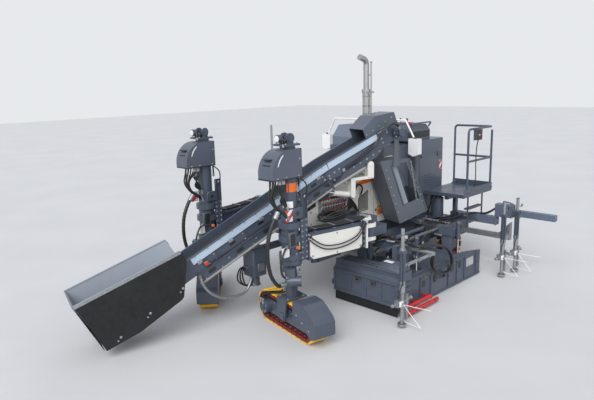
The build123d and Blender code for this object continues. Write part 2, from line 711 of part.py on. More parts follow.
def rear_sleeves():
    """Guide tubes of the rear legs with their seating flanges."""
    sleeves = []
    for y in (REAR_LEFT_Y, RIGHT_Y):
        tube = upright(REAR_X, y, REAR_SLEEVE_BOTTOM, REAR_SLEEVE_TOP, SLEEVE_RADIUS)
        tube += block(REAR_X - 150, REAR_X + 150, y - 140, y + 140,
                      REAR_BOX_TOP + SEAT_GAP, REAR_BOX_TOP + 26)
        tube -= upright(REAR_X, y, REAR_SLEEVE_BOTTOM - 1, REAR_SLEEVE_TOP - 20, SLEEVE_BORE)
        sleeves.append(tube)
    return sleeves


def side_panel():
    """The sloping left panel with its grille opening and beam notch."""
    panel = side_shape(SIDE_PANEL_OUTLINE, BODY_LEFT - PANEL_THICKNESS, BODY_LEFT)
    notch = block(BEAM_FRONT - BEAM_DEPTH - SEAT_GAP, BEAM_FRONT + SEAT_GAP, BODY_LEFT - 100,
                  BODY_LEFT + 10, 800, BEAM_TOP + SEAT_GAP)
    grille = [(-1960, 1205), (-1960, 1400), (-2180, 1500), (-2180, 1205)]
    return panel - notch - side_shape(grille, BODY_LEFT - 50, BODY_LEFT + 10)


def side_grille():
    """Upright slats in the side panel's opening."""
    frame = [(-1961, 1206), (-1961, 1399), (-2179, 1499), (-2179, 1206)]
    room = [(-1971, 1216), (-1971, 1392), (-2169, 1482), (-2169, 1216)]
    deep = BODY_LEFT - PANEL_THICKNESS
    bars = side_shape(frame, deep, BODY_LEFT - 4) - side_shape(room, deep - 1, BODY_LEFT)
    for count in range(9):
        x = -1988 - count * 21
        top = 1392 + (-1971 - x) * 0.4545
        bars += block(x - 8, x, deep + 6, BODY_LEFT - 8, 1210, top + 3)
    return bars


def front_housing():
    """The low hydraulic housing over the cross beam."""
    outline = [(-790, 1140), (-790, 1390), (-1980, 1470), (-1980, 935),
               (BEAM_FRONT - BEAM_DEPTH - SEAT_GAP, 935),
               (BEAM_FRONT - BEAM_DEPTH - SEAT_GAP, BEAM_TOP + SEAT_GAP),
               (BEAM_FRONT + SEAT_GAP, BEAM_TOP + SEAT_GAP), (BEAM_FRONT + SEAT_GAP, 1140)]
    housing = side_shape(outline, FRONT_HOUSING_RIGHT, BODY_LEFT - PANEL_THICKNESS - SEAT_GAP)
    return housing + block(-1060, -940, -1460, -1340, 1380, MAST_PAD_TOP)


def engine_housing():
    """The engine room's walls and roof, open below and under the hood."""
    left = BODY_LEFT - PANEL_THICKNESS - SEAT_GAP
    sheet = HOUSING_SHEET
    shell = block(ENGINE_REAR, ENGINE_FRONT, BODY_RIGHT, left, BEAM_BOTTOM + SEAT_GAP, ENGINE_STEP)
    shell += block(ENGINE_REAR, ENGINE_UPPER_FRONT, ENGINE_UPPER_RIGHT, left,
                   ENGINE_STEP - sheet, ENGINE_TOP)
    shell -= block(ENGINE_REAR + sheet, ENGINE_FRONT - sheet, BODY_RIGHT + sheet, left - sheet,
                   BEAM_BOTTOM, ENGINE_STEP - sheet)
    shell -= block(ENGINE_REAR + sheet, ENGINE_UPPER_FRONT - sheet, ENGINE_UPPER_RIGHT + sheet,
                   left - sheet, BEAM_BOTTOM, ENGINE_TOP - sheet)
    shell -= block(HOOD_REAR + 60, HOOD_FRONT - 60, HOOD_RIGHT + 60, HOOD_LEFT - 60,
                   ENGINE_TOP - 60, ENGINE_TOP + 10)
    # Louvres in the lower and the upper right wall: wall, first height, last height
    for wall, first, last in ((BODY_RIGHT, 1080, 1340), (ENGINE_UPPER_RIGHT, 1600, 1980)):
        for z in range(first, last, 60):
            shell -= block(-2700, -3240, wall - 5, wall + sheet + 5, z, z + 28)
    # Hinge pins for the hood, each between two small ears
    axis_y, axis_z = hood_axis()
    for x in HOOD_HINGE_PLACES:
        shell += rod((x - 44, axis_y, axis_z), (x + 44, axis_y, axis_z), HOOD_PIN_RADIUS)
        for low in (x - 48, x + 36):
            shell += block(low, low + 12, axis_y - 12, axis_y + 12, ENGINE_TOP - 4, axis_z + 10)
    return shell


def hood_axis():
    """Y and Z of the hood's hinge pins."""
    return HOOD_RIGHT - HOOD_KNUCKLE_OUT, ENGINE_TOP + HOOD_KNUCKLE_RADIUS + 2


def engine_hood():
    """The raised lid with two air slots and its grab rail."""
    sheet = HOOD_SHEET
    outline = [(HOOD_REAR, ENGINE_TOP + SEAT_GAP), (HOOD_REAR, HOOD_TOP - 60),
               (HOOD_REAR + 60, HOOD_TOP), (HOOD_FRONT - 170, HOOD_TOP),
               (HOOD_FRONT, HOOD_TOP - 190), (HOOD_FRONT, ENGINE_TOP + SEAT_GAP)]
    room = [(HOOD_REAR + sheet, ENGINE_TOP - 5), (HOOD_REAR + sheet, HOOD_TOP - 65),
            (HOOD_REAR + 65, HOOD_TOP - sheet), (HOOD_FRONT - 175, HOOD_TOP - sheet),
            (HOOD_FRONT - sheet, HOOD_TOP - 196), (HOOD_FRONT - sheet, ENGINE_TOP - 5)]
    hood = side_shape(outline, HOOD_RIGHT, HOOD_LEFT)
    hood -= side_shape(room, HOOD_RIGHT + sheet, HOOD_LEFT - sheet)
    for z in (HOOD_TOP - 170, HOOD_TOP - 100):
        hood -= block(HOOD_REAR + 120, HOOD_FRONT - 230, HOOD_LEFT - 20, HOOD_LEFT + 5, z, z + 22)
    rail_y = HOOD_LEFT - 60
    rail_top = HOOD_TOP + 80
    front = HOOD_FRONT - 200
    rear = HOOD_REAR + 90
    hood += bent_tube([(rear, rail_y, HOOD_TOP - 4), (rear, rail_y, rail_top),
                       (front, rail_y, rail_top), (front, rail_y, HOOD_TOP - 4)], 12, 40)
    axis_y, axis_z = hood_axis()
    for x in HOOD_HINGE_PLACES:
        knuckle = rod((x - 34, axis_y, axis_z), (x + 34, axis_y, axis_z), HOOD_KNUCKLE_RADIUS)
        knuckle += block(x - 34, x + 34, axis_y, HOOD_RIGHT + 5, axis_z - 4, axis_z + 14)
        knuckle -= rod((x - 40, axis_y, axis_z), (x + 40, axis_y, axis_z),
                       HOOD_PIN_RADIUS + RUNNING_GAP)
        hood += knuckle
    return hood


def rounded_block(x0, x1, y0, y1, z0, z1, corner):
    """A box with rounded upright corners."""
    plan = RectangleRounded(abs(x1 - x0), abs(y1 - y0), corner)
    return Pos((x0 + x1) / 2, (y0 + y1) / 2, z0) * extrude(plan, amount=z1 - z0)


def cabinet():
    """The tall rounded service cabinet beside the deck."""
    body = rounded_block(CABINET_REAR, CABINET_FRONT, CABINET_RIGHT, CABINET_LEFT,
                         CABINET_BOTTOM, CABINET_TOP, CABINET_CORNER)
    body += block(CABINET_REAR + 60, CABINET_FRONT - 110, CABINET_RIGHT + 60, CABINET_LEFT - 60,
                  REAR_BOX_TOP + SEAT_GAP, CABINET_BOTTOM + 5)
    groove = block(CABINET_REAR + 430, CABINET_REAR + 436, CABINET_LEFT - 6, CABINET_LEFT + 5,
                   CABINET_BOTTOM + 40, CABINET_TOP - 40)
    return body - groove


def console():
    """The sloped control console with its hand rail."""
    outline = [(-4000, CABINET_TOP + SEAT_GAP), (-4000, 2360), (-3860, 2470), (-3360, 2480),
               (-3280, 2400), (-3280, CABINET_TOP + SEAT_GAP)]
    desk = side_shape(outline, -1000, -450)
    rail = bent_tube([(-3400, -460, 2440), (-3400, -400, 2500), (-3960, -400, 2500),
                      (-3960, -460, 2420)], 14, 40)
    return desk + rail


def operator_deck():
    """The standing deck with toe boards, guard rails and its carrying brackets."""
    low = DECK_TOP - DECK_DEPTH
    deck = block(DECK_REAR, DECK_FRONT, DECK_RIGHT, DECK_LEFT, low, DECK_TOP)
    deck -= block(DECK_REAR + 12, DECK_FRONT - 12, DECK_RIGHT - 12 + 24, DECK_LEFT - 12,
                  low - 1, DECK_TOP - 10)
    corners = [(-3770, 460), (-4600, 460)]
    top = DECK_TOP + RAIL_HEIGHT
    middle = DECK_TOP + 545
    for x, y in corners:
        deck += upright(x, y - 18, DECK_TOP - 5, top - 60, TUBE_RADIUS)
    deck += upright(-4600, -280, DECK_TOP - 5, top - 60, TUBE_RADIUS)
    deck += bent_tube([(-3770, 442, top - 80), (-3770, 442, top), (-4600, 442, top),
                       (-4600, -280, top), (-4600, -280, top - 80)], TUBE_RADIUS, 60)
    deck += rod((-3770, 442, middle), (-4600, 442, middle), TUBE_RADIUS)
    deck += rod((-4600, 442, middle), (-4600, -280, middle), TUBE_RADIUS)
    # Brackets down to the rear cross box
    for y in (-290, 60):
        deck += block(-4060, -3980, y, y + 60, REAR_BOX_TOP + SEAT_GAP, low + 5)
    deck += block(-4060, -3980, -290, 120, low - 70, DECK_TOP - 5)
    deck += block(-4500, -3700, 60, 120, low - 70, DECK_TOP - 5)
    # Small switch box on the rail
    return deck + block(-4100, -3930, 446, 514, top - 190, top - 8)


def exhaust():
    """Silencer stack with its clamp, bend and guard bar."""
    base = ENGINE_TOP + SEAT_GAP
    pipe = bent_tube([(EXHAUST_X, EXHAUST_Y, base), (EXHAUST_X, EXHAUST_Y, 3610),
                      (EXHAUST_X + 190, EXHAUST_Y, 3660)], EXHAUST_RADIUS, 110)
    pipe += upright(EXHAUST_X, EXHAUST_Y, base, 3050, EXHAUST_RADIUS + 18)
    pipe += upright(EXHAUST_X, EXHAUST_Y, 3050, 3100, EXHAUST_RADIUS + 30)
    pipe += block(EXHAUST_X - 60, EXHAUST_X + 60, EXHAUST_Y - 60, EXHAUST_Y + 130, 3030, 3060)
    pipe += upright(EXHAUST_X, EXHAUST_Y + 110, base, 3560, 14)
    return pipe


def marker_arch():
    """The tube arch with a white shield box at each end."""
    x = ARCH_X
    near, far, top = ARCH_NEAR_Y, ARCH_FAR_Y, ARCH_TOP
    low = top - 320
    tube = bent_tube([(x, near, low), (x, near - 190, top), (x, far + 190, top), (x, far, low)],
                     15, 50)
    for y in (-620, -1560):
        tube += upright(x, y, ENGINE_TOP + SEAT_GAP, top - 6, 12)
    for y in (near, far):
        shield = front_shape([(y - 100, low + 20), (y - 100, low - 240), (y, low - 280),
                              (y + 100, low - 240), (y + 100, low + 20)], x - 50, x + 50)
        tube += shield
    return tube


def body_masts():
    """Slim masts on the housings."""
    foot = MAST_PAD_TOP + SEAT_GAP
    tall = upright(-1000, -1400, foot, 2610, 17)
    tall += block(-1050, -950, -1450, -1350, foot, foot + 14)
    fork = upright(-3220, -1000, ENGINE_TOP + SEAT_GAP, 2640, 16)
    fork += rod((-3220, -1060, 2540), (-3220, -940, 2540), 12)
    return [tall, fork]


# Conveyor

SLEW = Pos(KNEE_X, KNEE_Y, KNEE_Z) * Rot(0, 0, CONVEYOR_SLEW)
LOWER = SLEW * Rot(0, LOWER_SLOPE, 0)
UPPER = SLEW * Rot(0, UPPER_SLOPE, 0)
ON_GROUND = Pos(KNEE_X, KNEE_Y, 0) * Rot(0, 0, CONVEYOR_SLEW)
HALF_TROUGH = TROUGH_WIDTH / 2
CHORD_Y = HALF_TROUGH - CHORD_RADIUS


def knee_rotation():
    """The upper section's frame as seen from the lower section's."""
    return Rot(0, UPPER_SLOPE - LOWER_SLOPE, 0)


def conveyor_side(length, direction):
    """Side sheets with their top rims for one straight section."""
    end = direction * length
    parts = []
    for side in (-1, 1):
        parts.append(block(0, end, side * HALF_TROUGH, side * (HALF_TROUGH - SIDE_SHEET),
                           -SIDE_DEPTH, 0))
        parts.append(block(0, end, side * HALF_TROUGH, side * (HALF_TROUGH + 14), -12, 0))
    return parts


def conveyor_frame():
    """The trough's side frames with chords, ties, knee, head plates and lugs."""
    frame = conveyor_side(LOWER_FRAME, 1)
    for side in (-1, 1):
        frame.append(rod((-10, side * CHORD_Y, -CHORD_DEPTH),
                         (LOWER_OPEN, side * CHORD_Y, -CHORD_DEPTH), CHORD_RADIUS))
    shape = frame[0] + frame[1:]
    upper = conveyor_side(UPPER_FRAME, -1)
    for side in (-1, 1):
        upper.append(rod((10, side * CHORD_Y, -CHORD_DEPTH),
                         (-UPPER_CHORD, side * CHORD_Y, -CHORD_DEPTH), CHORD_RADIUS))
    shape += [knee_rotation() * piece for piece in upper]
    for count in range(int(LOWER_OPEN / IDLER_PITCH)):
        x = IDLER_START + count * IDLER_PITCH
        shape += rod((x, -CHORD_Y, -CHORD_DEPTH), (x, CHORD_Y, -CHORD_DEPTH), TIE_RADIUS)
        shape -= block(x + 90, x + 180, -HALF_TROUGH - 1, HALF_TROUGH + 1, -200, -160)
    # Lugs for the tilt pin under the chords
    for side in (-1, 1):
        lug = block(TILT_X - 50, TILT_X + 50, side * (CHORD_Y - 16), side * (CHORD_Y + 16),
                    -TILT_DROP, -CHORD_DEPTH)
        lug += rod((TILT_X, side * (CHORD_Y - 16), -TILT_DROP),
                   (TILT_X, side * (CHORD_Y + 16), -TILT_DROP), 50)
        lug -= rod((TILT_X, side * (CHORD_Y - 60), -TILT_DROP),
                   (TILT_X, side * (CHORD_Y + 60), -TILT_DROP), TILT_PIN_RADIUS + RUNNING_GAP)
        shape += knee_rotation() * lug
    # Lug over the tilt cylinder's rod eye
    shape += block(TILT_EYE_X - 40, TILT_EYE_X + 40, TILT_SIDE - 25, TILT_SIDE + 25,
                   -TILT_EYE_DROP + CYLINDER_EYE_RADIUS + TILT_EYE_GAP, -CHORD_DEPTH)
    # Chute hinge pins on the head plates
    for side in (-1, 1):
        pin = rod((CHUTE_HINGE_X, side * (HALF_TROUGH - 4), -CHUTE_HINGE_DROP),
                  (CHUTE_HINGE_X, side * (HALF_TROUGH + 34), -CHUTE_HINGE_DROP),
                  CHUTE_PIN_RADIUS)
        shape += knee_rotation() * pin
    return LOWER * shape


def conveyor_rollers():
    """Idlers under the carrying run and the drums at both ends."""
    half = HALF_TROUGH - SIDE_SHEET - SEAT_GAP
    idler_z = -BELT_DROP - BELT_THICKNESS - SEAT_GAP - IDLER_RADIUS
    rollers = []
    for count in range(int(LOWER_OPEN / IDLER_PITCH)):
        x = IDLER_START + count * IDLER_PITCH
        rollers.append(LOWER * rod((x, -half, idler_z), (x, half, idler_z), IDLER_RADIUS))
    for section, x in ((LOWER, TAIL_DRUM_X), (UPPER, HEAD_DRUM_X)):
        rollers.append(section * rod((x, -half, DRUM_DEPTH), (x, half, DRUM_DEPTH), DRUM_RADIUS))
    return rollers


def head_hood():
    """The peaked hood over the discharge end, X then Z in the upper section."""
    outline = [(-769, SEAT_GAP), (-769, 150), (-1041, 240), (-1398, 140), (-1398, SEAT_GAP)]
    room = [(-700, -20), (-700, 120), (-1043, 231), (-1390, 133), (-1390, -20)]
    cap = side_shape(outline, -HALF_TROUGH, HALF_TROUGH)
    return UPPER * (cap - side_shape(room, -HALF_TROUGH + 8, HALF_TROUGH - 8))


def belt():
    """The conveyor belt as one closed band round both drums."""
    half = BELT_WIDTH / 2
    top = -BELT_DROP
    low = top - BELT_THICKNESS
    return_top = low - 2 * (DRUM_RADIUS + SEAT_GAP)
    return_low = return_top - BELT_THICKNESS
    outer = DRUM_RADIUS + SEAT_GAP + BELT_THICKNESS
    inner = DRUM_RADIUS + SEAT_GAP

    def wrap(x, sign):
        ring = rod((x, -half, DRUM_DEPTH), (x, half, DRUM_DEPTH), outer)
        ring -= rod((x, -half - 1, DRUM_DEPTH), (x, half + 1, DRUM_DEPTH), inner)
        return ring - block(x, x - sign * 200, -half - 1, half + 1,
                            DRUM_DEPTH - 200, DRUM_DEPTH + 200)

    band = block(-10, TAIL_DRUM_X, -half, half, low, top)
    band += block(-10, TAIL_DRUM_X, -half, half, return_low, return_top)
    band += wrap(TAIL_DRUM_X, 1)
    upper = block(0, HEAD_DRUM_X, -half, half, low, top)
    upper += block(0, HEAD_DRUM_X, -half, half, return_low, return_top)
    upper += wrap(HEAD_DRUM_X, -1)
    return LOWER * (band + knee_rotation() * upper)


def side_strips():
    """The light wear strips along both sides of the trough."""
    strips = []
    for side in (-1, 1):
        inner = side * (HALF_TROUGH + SEAT_GAP)
        outer = side * (HALF_TROUGH + STRIP_SHEET)
        low = block(12, LOWER_OPEN, inner, outer, -STRIP_HEIGHT, -12 - SEAT_GAP)
        high = block(-4, -UPPER_STRIP, inner, outer, -STRIP_HEIGHT, -12 - SEAT_GAP)
        strips.append(LOWER * low)
        strips.append(UPPER * high)
    return strips


def hopper():
    """The flared loading hopper with its end wall."""
    base = SEAT_GAP
    half = HALF_TROUGH
    top_half = HOPPER_HALF_WIDTH

    def section(x, top, side):
        points = [(half - HOPPER_SHEET, base), (half, base), (top_half, top),
                  (top_half - HOPPER_SHEET, top)]
        return make_face(Polyline(*[(x, side * y, z) for y, z in points], close=True))

    shape = loft([section(HOPPER_START, HOPPER_REAR_TOP, 1),
                  section(HOPPER_END, HOPPER_FRONT_TOP, 1)], ruled=True)
    shape += loft([section(HOPPER_START, HOPPER_REAR_TOP, -1),
                   section(HOPPER_END, HOPPER_FRONT_TOP, -1)], ruled=True)
    wall = [(-half, base), (half, base), (top_half, HOPPER_FRONT_TOP),
            (-top_half, HOPPER_FRONT_TOP)]
    shape += front_shape(wall, HOPPER_END - HOPPER_SHEET, HOPPER_END)
    rear = [(-half, base), (half, base), (half + 20, 40), (-half - 20, 40)]
    shape += front_shape(rear, HOPPER_START, HOPPER_START + HOPPER_SHEET)
    return LOWER * shape


def hopper_skirts():
    """Black rubber sheets hung along both sides of the hopper."""
    outline = [(HOPPER_START - 9, HOPPER_REAR_TOP - 25), (HOPPER_START - 9, 60),
               (2700, -330), (2745, -352), (3371, -375), (3810, -313), (3802, 242),
               (3815, HOPPER_FRONT_TOP)]
    skirts = []
    for side in (-1, 1):
        inner = side * (HOPPER_HALF_WIDTH + SEAT_GAP)
        outer = side * (HOPPER_HALF_WIDTH + SKIRT_SHEET)
        skirts.append(LOWER * side_shape(outline, min(inner, outer), max(inner, outer)))
    return skirts


def cradle():
    """The turntable on the post with the two cheeks that hold the tilt pin."""
    base = POST_TOP + SEAT_GAP
    tilt = UPPER * Pos(TILT_X, 0, -TILT_DROP)
    tx, ty, tz = tilt.position.X, tilt.position.Y, tilt.position.Z
    plate = upright(POST_X, POST_Y, base, base + 45, 150)
    across = Pos(tx, ty, 0) * Rot(0, 0, CONVEYOR_SLEW)
    # Corners along and across from the knee, clear in front of the chute's swing
    plate += ON_GROUND * plan_shape([(-1085, -290), (-868, -200), (-862, 172), (-742, 172),
                                     (-742, -172), (-880, -500)], base, base + 45)
    for side in (-1, 1):
        for offset in (-34, 34):
            cheek = block(-55, 55, side * CHORD_Y + offset - 16, side * CHORD_Y + offset + 16,
                          base + 20, tz)
            cheek += rod((0, side * CHORD_Y + offset - 16, tz),
                         (0, side * CHORD_Y + offset + 16, tz), 55)
            plate += across * cheek
        pin = rod((0, side * CHORD_Y - 55, tz), (0, side * CHORD_Y + 55, tz), TILT_PIN_RADIUS)
        plate += across * pin
    # Hanging clevis for the tilt cylinder's base
    bx, by, bz = tilt_cylinder_ends()[0]
    for offset in (-38, 38):
        cheek = block(bx - 40, bx + 40, by + offset - 12, by + offset + 12, bz, base + 45)
        cheek += rod((bx, by + offset - 12, bz), (bx, by + offset + 12, bz), 40)
        plate += ON_GROUND * cheek
    plate += ON_GROUND * rod((bx, by - 50, bz), (bx, by + 50, bz), CYLINDER_PIN_RADIUS)
    plate += ON_GROUND * block(bx - 360, bx + 40, by - 50, by + 50, base, base + 45)
    return plate


def tilt_cylinder_ends():
    """Base pin and rod eye of the tilt cylinder, along, across and up from the ground."""
    angle = radians(LOWER_SLOPE)
    along = TILT_EYE_X * cos(angle) - TILT_EYE_DROP * sin(angle)
    up = KNEE_Z - TILT_EYE_X * sin(angle) - TILT_EYE_DROP * cos(angle)
    return (TILT_BASE_AHEAD, TILT_SIDE, TILT_BASE_Z), (along, TILT_SIDE, up)


def chute():
    """The leaning discharge chute, its corners along and up from the knee."""
    hx, hz = upper_point(CHUTE_HINGE_X, -CHUTE_HINGE_DROP)
    half = CHUTE_WIDTH / 2
    outer = [(-1000, -120), (-1020, -70), (-1540, -70), (-1940, -960), (-1370, -1100)]
    inner = [(-1020 - CHUTE_WALL, -110), (-1030 - CHUTE_WALL, 0), (-1540 + CHUTE_WALL, 0),
             (-1970 + CHUTE_WALL, -1050), (-1400 - CHUTE_WALL, -1200)]
    tube = side_shape(outer, -half, half)
    tube -= side_shape(inner, -half + CHUTE_WALL, half - CHUTE_WALL)
    # Open the chute's outer side above the outlet box
    window = [(-1180, -130), (-1500, -130), (-1790, -740), (-1440, -820)]
    tube -= side_shape(window, half - CHUTE_WALL - 2, half + 5)
    # Hinge ears outside the head plates
    for side in (-1, 1):
        inner_y = side * (HALF_TROUGH + SEAT_GAP)
        outer_y = side * (HALF_TROUGH + 22)
        low = min(inner_y, outer_y)
        high = max(inner_y, outer_y)
        ear = side_shape([(hx - 40, hz), (hx + 40, hz), (hx + 60, -170), (hx - 60, -170)], low, high)
        ear += rod((hx, low, hz), (hx, high, hz), 42)
        ear -= rod((hx, low - 5, hz), (hx, high + 5, hz), CHUTE_PIN_RADIUS + RUNNING_GAP)
        tube += ear
        tube += block(hx - 60, hx + 60, side * (half - CHUTE_WALL), outer_y, -172, -110)
    return SLEW * tube


def upper_point(x, z):
    """A point of the upper section in the slewed upright plane."""
    angle = radians(UPPER_SLOPE)
    return x * cos(angle) + z * sin(angle), -x * sin(angle) + z * cos(angle)


# Mould, trimmer and side form

def mould():
    """The kerb mould with its tunnel, stepped profile and feed funnel."""
    body = block(MOULD_REAR, MOULD_FRONT, MOULD_RIGHT, MOULD_LEFT, MOULD_BOTTOM, MOULD_TOP)
    left = KERB_CENTRE + KERB_WIDTH / 2
    right = KERB_CENTRE - KERB_WIDTH / 2
    kerb = [(right - 120, 0), (right - 120, 150), (right, 165), (right + 60, KERB_HEIGHT),
            (left - 60, KERB_HEIGHT), (left, 0)]
    body -= front_shape(kerb, MOULD_REAR - 10, MOULD_FRONT + 10)
    sections = ((THROAT_LENGTH, THROAT_WIDTH, MOULD_TOP - 5),
                (FUNNEL_LENGTH, FUNNEL_WIDTH, FUNNEL_TOP))
    thin = 2 * FUNNEL_SHEET
    body += loft([Pos(FUNNEL_X, FUNNEL_Y, z) * Rectangle(length, width)
                  for length, width, z in sections])
    body -= loft([Pos(FUNNEL_X, FUNNEL_Y, z) * Rectangle(length - thin, width - thin)
                  for length, width, z in sections])
    throat_x = THROAT_LENGTH / 2 - FUNNEL_SHEET
    throat_y = THROAT_WIDTH / 2 - FUNNEL_SHEET
    body -= block(FUNNEL_X - throat_x, FUNNEL_X + throat_x, FUNNEL_Y - throat_y,
                  FUNNEL_Y + throat_y, 120, MOULD_TOP - 5)
    # Stiffening ribs on the top
    for x in MOULD_RIB_PLACES:
        body += block(x - 12, x + 12, MOULD_RIGHT + 20, MOULD_LEFT - 20, MOULD_TOP - 5, MOULD_TOP + 60)
    # Guides for the side form
    for x in SIDE_FORM_GUIDES:
        body += block(x - 60, x + 60, MOULD_LEFT - 5, SIDE_FORM_OUTER - SIDE_FORM_SHEET - SEAT_GAP,
                      120, 420)
    return body


def trimmer_housing():
    """The trimmer's hooded housing, open below, with its slotted shelf."""
    back = TRIMMER_REAR
    outline = [(TRIMMER_FRONT, TRIMMER_BOTTOM), (TRIMMER_FRONT, TRIMMER_FACE_TOP),
               (TRIMMER_FRONT - 45, TRIMMER_FACE_TOP + 60), (TRIMMER_FRONT - 45, TRIMMER_TOP),
               (back, TRIMMER_TOP), (back, TRIMMER_BOTTOM)]
    body = side_shape(outline, TRIMMER_RIGHT, TRIMMER_LEFT)
    body -= block(back + TRIMMER_SHEET, TRIMMER_FRONT - TRIMMER_SHEET,
                  TRIMMER_RIGHT + TRIMMER_SHEET, TRIMMER_LEFT - TRIMMER_SHEET,
                  TRIMMER_BOTTOM - 10, TRIMMER_FACE_TOP - TRIMMER_SHEET)
    for count in range(9):
        y = TRIMMER_RIGHT + 70 + count * 122
        body -= block(back + 60, TRIMMER_FRONT - 90, y, y + 60, TRIMMER_TOP - 70, TRIMMER_TOP + 5)
    # Cheeks that run on the guide posts
    for place in TRIMMER_GUIDE_PLACES:
        for side in (-1, 1):
            inner = place + side * (40 + SEAT_GAP)
            body += block(back - 52, back + 4, inner, inner + side * 24, 330, 600)
    # Bearings for the drum's shaft
    for y0, y1 in ((TRIMMER_RIGHT, TRIMMER_RIGHT - 34), (TRIMMER_LEFT, TRIMMER_LEFT + 34)):
        body += rod((DRUM_X, y0, DRUM_Z), (DRUM_X, y1, DRUM_Z), 62)
    body -= rod((DRUM_X, TRIMMER_RIGHT - 20, DRUM_Z), (DRUM_X, TRIMMER_LEFT + 20, DRUM_Z),
                TRIM_DRUM_SHAFT + RUNNING_GAP)
    return body


def trimmer_skirt():
    """Rubber curtain under the trimmer's front and ends."""
    front = TRIMMER_FRONT - TRIMMER_SHEET
    top = TRIMMER_BOTTOM + 60
    return block(front - 10, front - SEAT_GAP, TRIMMER_RIGHT + 14, TRIMMER_LEFT - 14, 8, top)


def trimmer_drum():
    """The trimming drum: a shaft and core with two helical rows of picks."""
    inner_right = TRIMMER_RIGHT + TRIMMER_SHEET + 12
    inner_left = TRIMMER_LEFT - TRIMMER_SHEET - 12
    drum = rod((DRUM_X, TRIMMER_RIGHT - 18, DRUM_Z), (DRUM_X, TRIMMER_LEFT + 18, DRUM_Z),
               TRIM_DRUM_SHAFT)
    drum += rod((DRUM_X, inner_right, DRUM_Z), (DRUM_X, inner_left, DRUM_Z), TRIM_DRUM_RADIUS)
    pitch = (inner_left - inner_right - 50) / (PICK_ROWS - 1)
    pick = block(-13, 13, -11, 11, TRIM_DRUM_RADIUS - 8, PICK_REACH - 22)
    pick += loft([Pos(0, 0, PICK_REACH - 23) * Rectangle(26, 22),
                  Pos(8, 0, PICK_REACH) * Rectangle(6, 14)])
    picks = []
    for row in range(PICK_ROWS):
        for start in (0, 180):
            turn = Rot(0, start + row * 47, 0)
            y = inner_right + 25 + row * pitch
            picks.append(Pos(DRUM_X, y, DRUM_Z) * turn * pick)
    return drum + picks


def side_form():
    """The long sliding side form with its cut-outs."""
    inner = SIDE_FORM_OUTER - SIDE_FORM_SHEET
    outline = [(SIDE_FORM_FRONT, SIDE_FORM_BOTTOM + 70), (SIDE_FORM_FRONT, SIDE_FORM_TOP),
               (-3100, SIDE_FORM_TOP), (SIDE_FORM_REAR, SIDE_FORM_TOP - 85),
               (SIDE_FORM_REAR, SIDE_FORM_BOTTOM), (SIDE_FORM_FRONT - 70, SIDE_FORM_BOTTOM)]
    form = side_shape(outline, inner, SIDE_FORM_OUTER)
    # Cut-outs, low X, high X, low Z, high Z
    for x0, x1, z0, z1 in ((-3490, -3210, 200, 360), (-2560, -2470, 230, 330),
                           (-2300, -2210, 230, 330)):
        form -= block(x0, x1, inner - 5, SIDE_FORM_OUTER + 5, z0, z1)
    # Stiffening ledge along the top
    form += block(SIDE_FORM_FRONT, -3100, inner + 2, SIDE_FORM_OUTER + 22,
                  SIDE_FORM_TOP - 50, SIDE_FORM_TOP - 34)
    return form


# Rear beams and sensor masts

def rear_beam():
    """The fixed outrigger beams behind the mould."""
    beam = block(-4270, -4141, -50, 780, 750, 880)
    beam += block(-4270, -4100, -50, 240, REAR_BOX_TOP + SEAT_GAP, 880)
    beam += block(-4275, -4135, 780, 800, 740, 1120)
    beam += block(-4275, -4135, 780, 1080, 905, 925)
    beam += block(-4275, -4135, 780, 1080, 1100, 1120)
    beam += block(-4275, -4255, 780, 1080, 905, 1120)
    beam += block(-4155, -4135, 780, 1080, 905, 1120)
    return beam


def beam_slide():
    """The telescopic beam with its sensor mast."""
    inner = 925 + SEAT_GAP
    outer = 1100 - SEAT_GAP
    slide = block(-4255 + SEAT_GAP, -4155 - SEAT_GAP, 830, 1780, inner + 20, outer - 55)
    slide += block(-4255 + SEAT_GAP, -4155 - SEAT_GAP, 830, 1070, inner, outer)
    return slide


def sensor_mast(x, y, bottom, height, arm):
    """A galvanised mast with its jack tube, arm, sensor box and wands."""
    mast = upright(x, y, bottom + 25, bottom + height, MAST_RADIUS)
    mast += upright(x, y, bottom + height * 0.35, bottom + height * 0.8, MAST_RADIUS + 14)
    mast += block(x - 90, x + 90, y - 14, y + 14, bottom + 320, bottom + 350)
    mast += block(x - 110, x - 70, y - 20, y + 20, bottom + 60, bottom + 420)
    mast += block(x + 40, x + 130, y - 35, y + 35, bottom + 290, bottom + 380)
    mast += upright(x, y, bottom, bottom + 25, 60)
    return mast + arm


def fixed_sensors():
    """The two masts that stand on the chassis' own brackets."""
    low_arm = block(-3950, -3870, REAR_BOX_LEFT + SEAT_GAP, 1180, 600, 680)
    bracket = front_shape([(900, 600), (1180, 600), (1180, 900)], -3950, -3870)
    rear = sensor_mast(-3700, 1150, SENSOR_FOOT, SENSOR_HEIGHT, low_arm + bracket +
                       block(-3880, -3690, 1130, 1170, 620, 700))
    arm = rod((-1000, 1060, 850), (FRONT_CARRIER_X, 1060, 850), 22)
    arm += rod((FRONT_CARRIER_X, 1075, 850), (FRONT_CARRIER_X, CARRIER_LEFT + SEAT_GAP, 850), 30)
    front = sensor_mast(-1000, 1060, SENSOR_FOOT, FRONT_SENSOR_HEIGHT, arm)
    return [rear, front]


def side_names():
    """Name, sign and column place of the two front corners."""
    return (("left", 1, 0), ("right", -1, RIGHT_Y))


